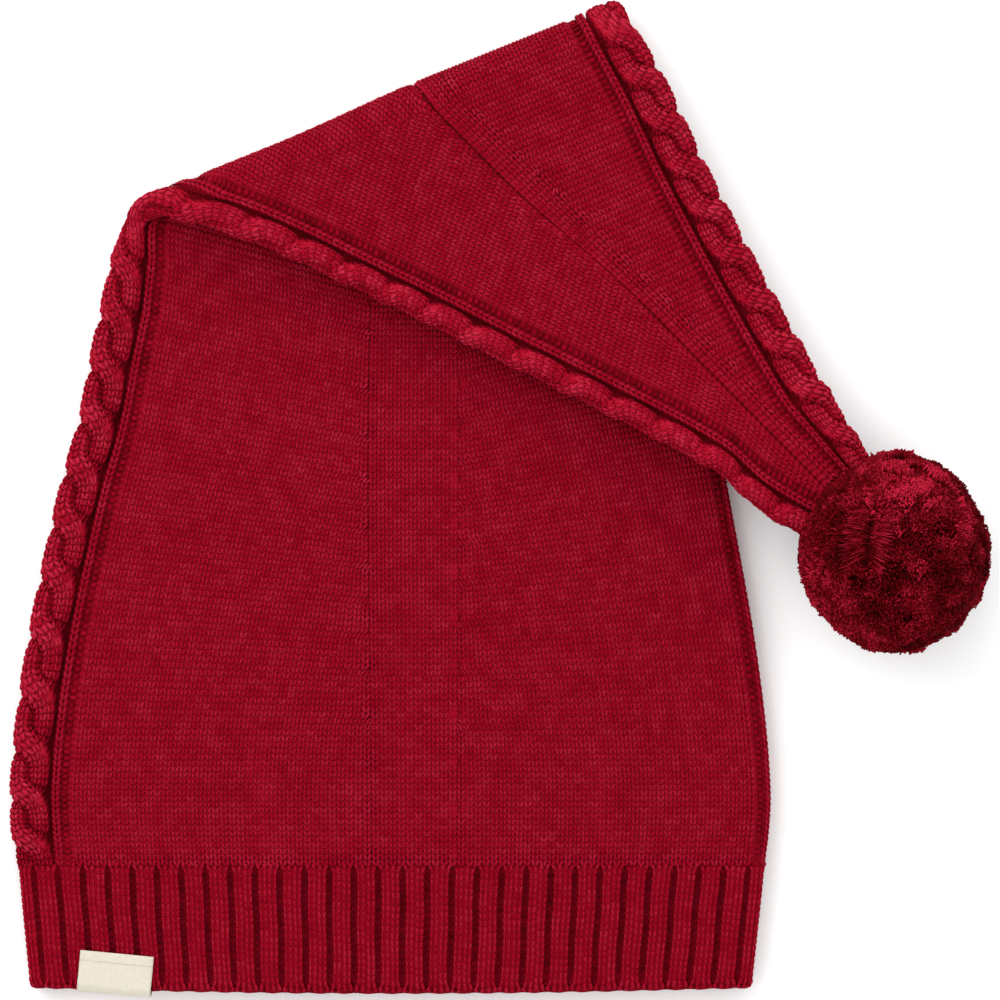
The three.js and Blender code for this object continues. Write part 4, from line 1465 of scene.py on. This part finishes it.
# ---------- Label ----------
def woven_tape():
    """Cream cotton tape: a fine even weave, and a faint line where its folded edge lies under it. Their
    hollows are painted darker too: painted shade.
    """
    material, tree, shader = plain_material("label_tape cotton", roughness=0.85, shine=0.15)
    across, along = (attribute_node(tree, name) for name in ("across", "along"))
    weave = math_node(tree, "MULTIPLY", wave_of(tree, across, THREAD), wave_of(tree, along, THREAD))
    line = math_node(tree, "COMPARE", along, LABEL_LINE, LABEL_LINE_HALF)
    relief = math_node(tree, "MULTIPLY_ADD", line, -LABEL_LINE_DEPTH, weave)
    dirt = noise(tree, tree.nodes.new("ShaderNodeTexCoord").outputs["Object"], DIRT_SCALE)
    dirty = math_node(tree, "MULTIPLY_ADD", dirt, DIRT_SHADE, CLEAN_SHADE)
    # The weave's hollows and the line are painted darker: painted shade.
    shade = math_node(tree, "MULTIPLY_ADD", relief, WEAVE_PAINTED_SHADE, dirty)
    coloured(tree, shader, shade, (0.1, (0.54, 0.48, 0.38)), (0.75, (0.76, 0.71, 0.60)))
    bumped(tree, shader, relief, 0.08 * MM)
    return material


def label_path(half):
    """The tape's course from the end of its front leg round the rim to the end of its inner leg,
    with the way out of it at each point, and the length of tape up to there."""
    front = LABEL_HEIGHT - LABEL_NOSE
    path = [(front * (1 - t), half) for t in np.linspace(0, 1, LEG_STEPS + 1)[:-1]]
    for angle in np.linspace(math.pi / 2, 3 * math.pi / 2, NOSE_STEPS + 1):
        path.append((LABEL_NOSE * math.cos(angle), half * math.sin(angle)))
    path += [(LABEL_INSIDE * t, -half) for t in np.linspace(0, 1, INNER_STEPS + 1)[1:]]
    path = np.array(path)
    steps = np.gradient(path, axis=0)
    out = -unit(np.stack([-steps[:, 1], steps[:, 0]], -1))
    length = np.concatenate([[0], np.cumsum(np.linalg.norm(np.diff(path, axis=0), axis=1))])
    return path, out, length


def label_piece():
    """A bare woven tape folded over the rim. Its front leg lies over the ribs."""
    crest, lining = (settle(LABEL_X, 0, 2 * EDGE_RADIUS - wall, 1)[2] for wall in (0, CUFF_WALL))
    side = LABEL_WIDTH / 4
    left, right = (settle(LABEL_X + away, 0, 2 * EDGE_RADIUS, 1)[2] for away in (-side, side))
    path, out, length = label_path((crest - lining) / 2 + LABEL_EASE)
    bm, (column, row, inner) = two_sided(LABEL_COLUMNS, len(path) - 1)
    across = (column / LABEL_COLUMNS - 0.5) * LABEL_WIDTH
    y, z = (path[row] + out[row] * (-LABEL_TAPE * inner)[:, None]).T
    over_ribs = np.cos(2 * math.pi * across / RIB_SPACING) * LABEL_OVER_RIBS
    curled = LABEL_CURL * (row / LEG_STEPS - 0.5) ** 2 * 4 * (2 * np.abs(across) / LABEL_WIDTH) ** 3
    z = z + np.where(row <= LEG_STEPS, over_ribs + curled, 0)
    tilt = Matrix.Rotation(-math.atan2(right - left, 2 * side), 3, "Y")
    turned = np.array(Matrix.Rotation(LABEL_TURN, 3, "Z") @ tilt)
    places = np.stack([across, y, z], -1) @ turned.T
    places = places + [LABEL_X + SHIFT[0], SHIFT[1], (crest + lining) / 2]
    piece = sewn("label_tape", bm, places, woven_tape(), across=across, along=length[row])
    return piece, length[-1]


tape, tape_length = label_piece()


# ---------- The CAD parts that the pieces replace, and the cuff's flat size ---
RIB_MEASURES = 64
HEIGHT_MEASURES = 60


def length_along(*spots):
    return float(np.linalg.norm(np.diff(settle(*spots), axis=0), axis=1).sum())


def cuff_flat():
    """The cuff's round with its ribs drawn open, midway between outer side and lining, and its height."""
    turn = np.linspace(0, 1, RIBS * RIB_MEASURES, endpoint=False)
    up = np.full_like(turn, CUFF_HEIGHT / 2)
    rise = rib_rise(turn * RIBS % 1, up)
    sides = (rise - RIB_CLOTH_DEPTH, -CUFF_WALL - rise / 2)
    rounds = [length_along(*cuff_spot(turn, up, side)) for side in sides]
    up = np.linspace(0, CUFF_HEIGHT, HEIGHT_MEASURES)
    faces = (np.ones_like(up), -np.ones_like(up))
    heights = [length_along(0 * up, up, EDGE_RADIUS * (1 + face), face) for face in faces]
    return sum(rounds) / 2, sum(heights) / 2


for piece, part, node, rests in (
    (front_cloth, "front", "front_panel", ["back_cloth"]), (back_cloth, "back", "back_panel", []),
):
    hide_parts(node)
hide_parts("rib_band")
cuff_flat()
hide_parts("pompom")
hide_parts("label")


# ---------- Floor, camera and light ----------
bm = bmesh.new()
bmesh.ops.create_grid(bm, x_segments=1, y_segments=1, size=4)
floor_mesh = bpy.data.meshes.new("floor")
bm.to_mesh(floor_mesh)
bm.free()
floor = bpy.data.objects.new("floor", floor_mesh)
bpy.context.scene.collection.objects.link(floor)
floor_paint, _, floor_shader = plain_material("white floor", roughness=1, shine=0.5)
floor_shader.inputs["Base Color"].default_value = (0.96, 0.96, 0.96, 1)
floor_mesh.materials.append(floor_paint)

CAMERA_HEIGHT = 5.0
SENSOR = 36
FRAME_WIDTH = 0.29
FRAME_MIDDLE = MM * np.array([30.74, 141.5]) + SHIFT
HAT_HEIGHT = 0.008
camera_data = bpy.data.cameras.new("camera")
camera_data.sensor_width = SENSOR
camera_data.lens = SENSOR * (CAMERA_HEIGHT - HAT_HEIGHT) / FRAME_WIDTH
camera_data.clip_end = 100
camera = bpy.data.objects.new("camera", camera_data)
camera.location = (*FRAME_MIDDLE, CAMERA_HEIGHT)
bpy.context.scene.collection.objects.link(camera)
bpy.context.scene.camera = camera


def soft_light(name, place, size, watts):
    data = bpy.data.lights.new(name, "AREA")
    data.size = size
    data.energy = watts
    light = bpy.data.objects.new(name, data)
    light.location = place
    light.rotation_euler = (-Vector(place)).to_track_quat("-Z", "Y").to_euler()
    bpy.context.scene.collection.objects.link(light)


soft_light("key", place=(-1.25, 1.2, 1.5), size=1.7, watts=20)
soft_light("crown", place=(-0.3, 1.9, 0.7), size=0.8, watts=13)
world = bpy.data.worlds.new("studio")
world.use_nodes = True
world.node_tree.nodes["Background"].inputs["Color"].default_value = (1, 1, 1, 1)
world.node_tree.nodes["Background"].inputs["Strength"].default_value = 1.24
bpy.context.scene.world = world
bpy.context.scene.view_settings.view_transform = "Standard"
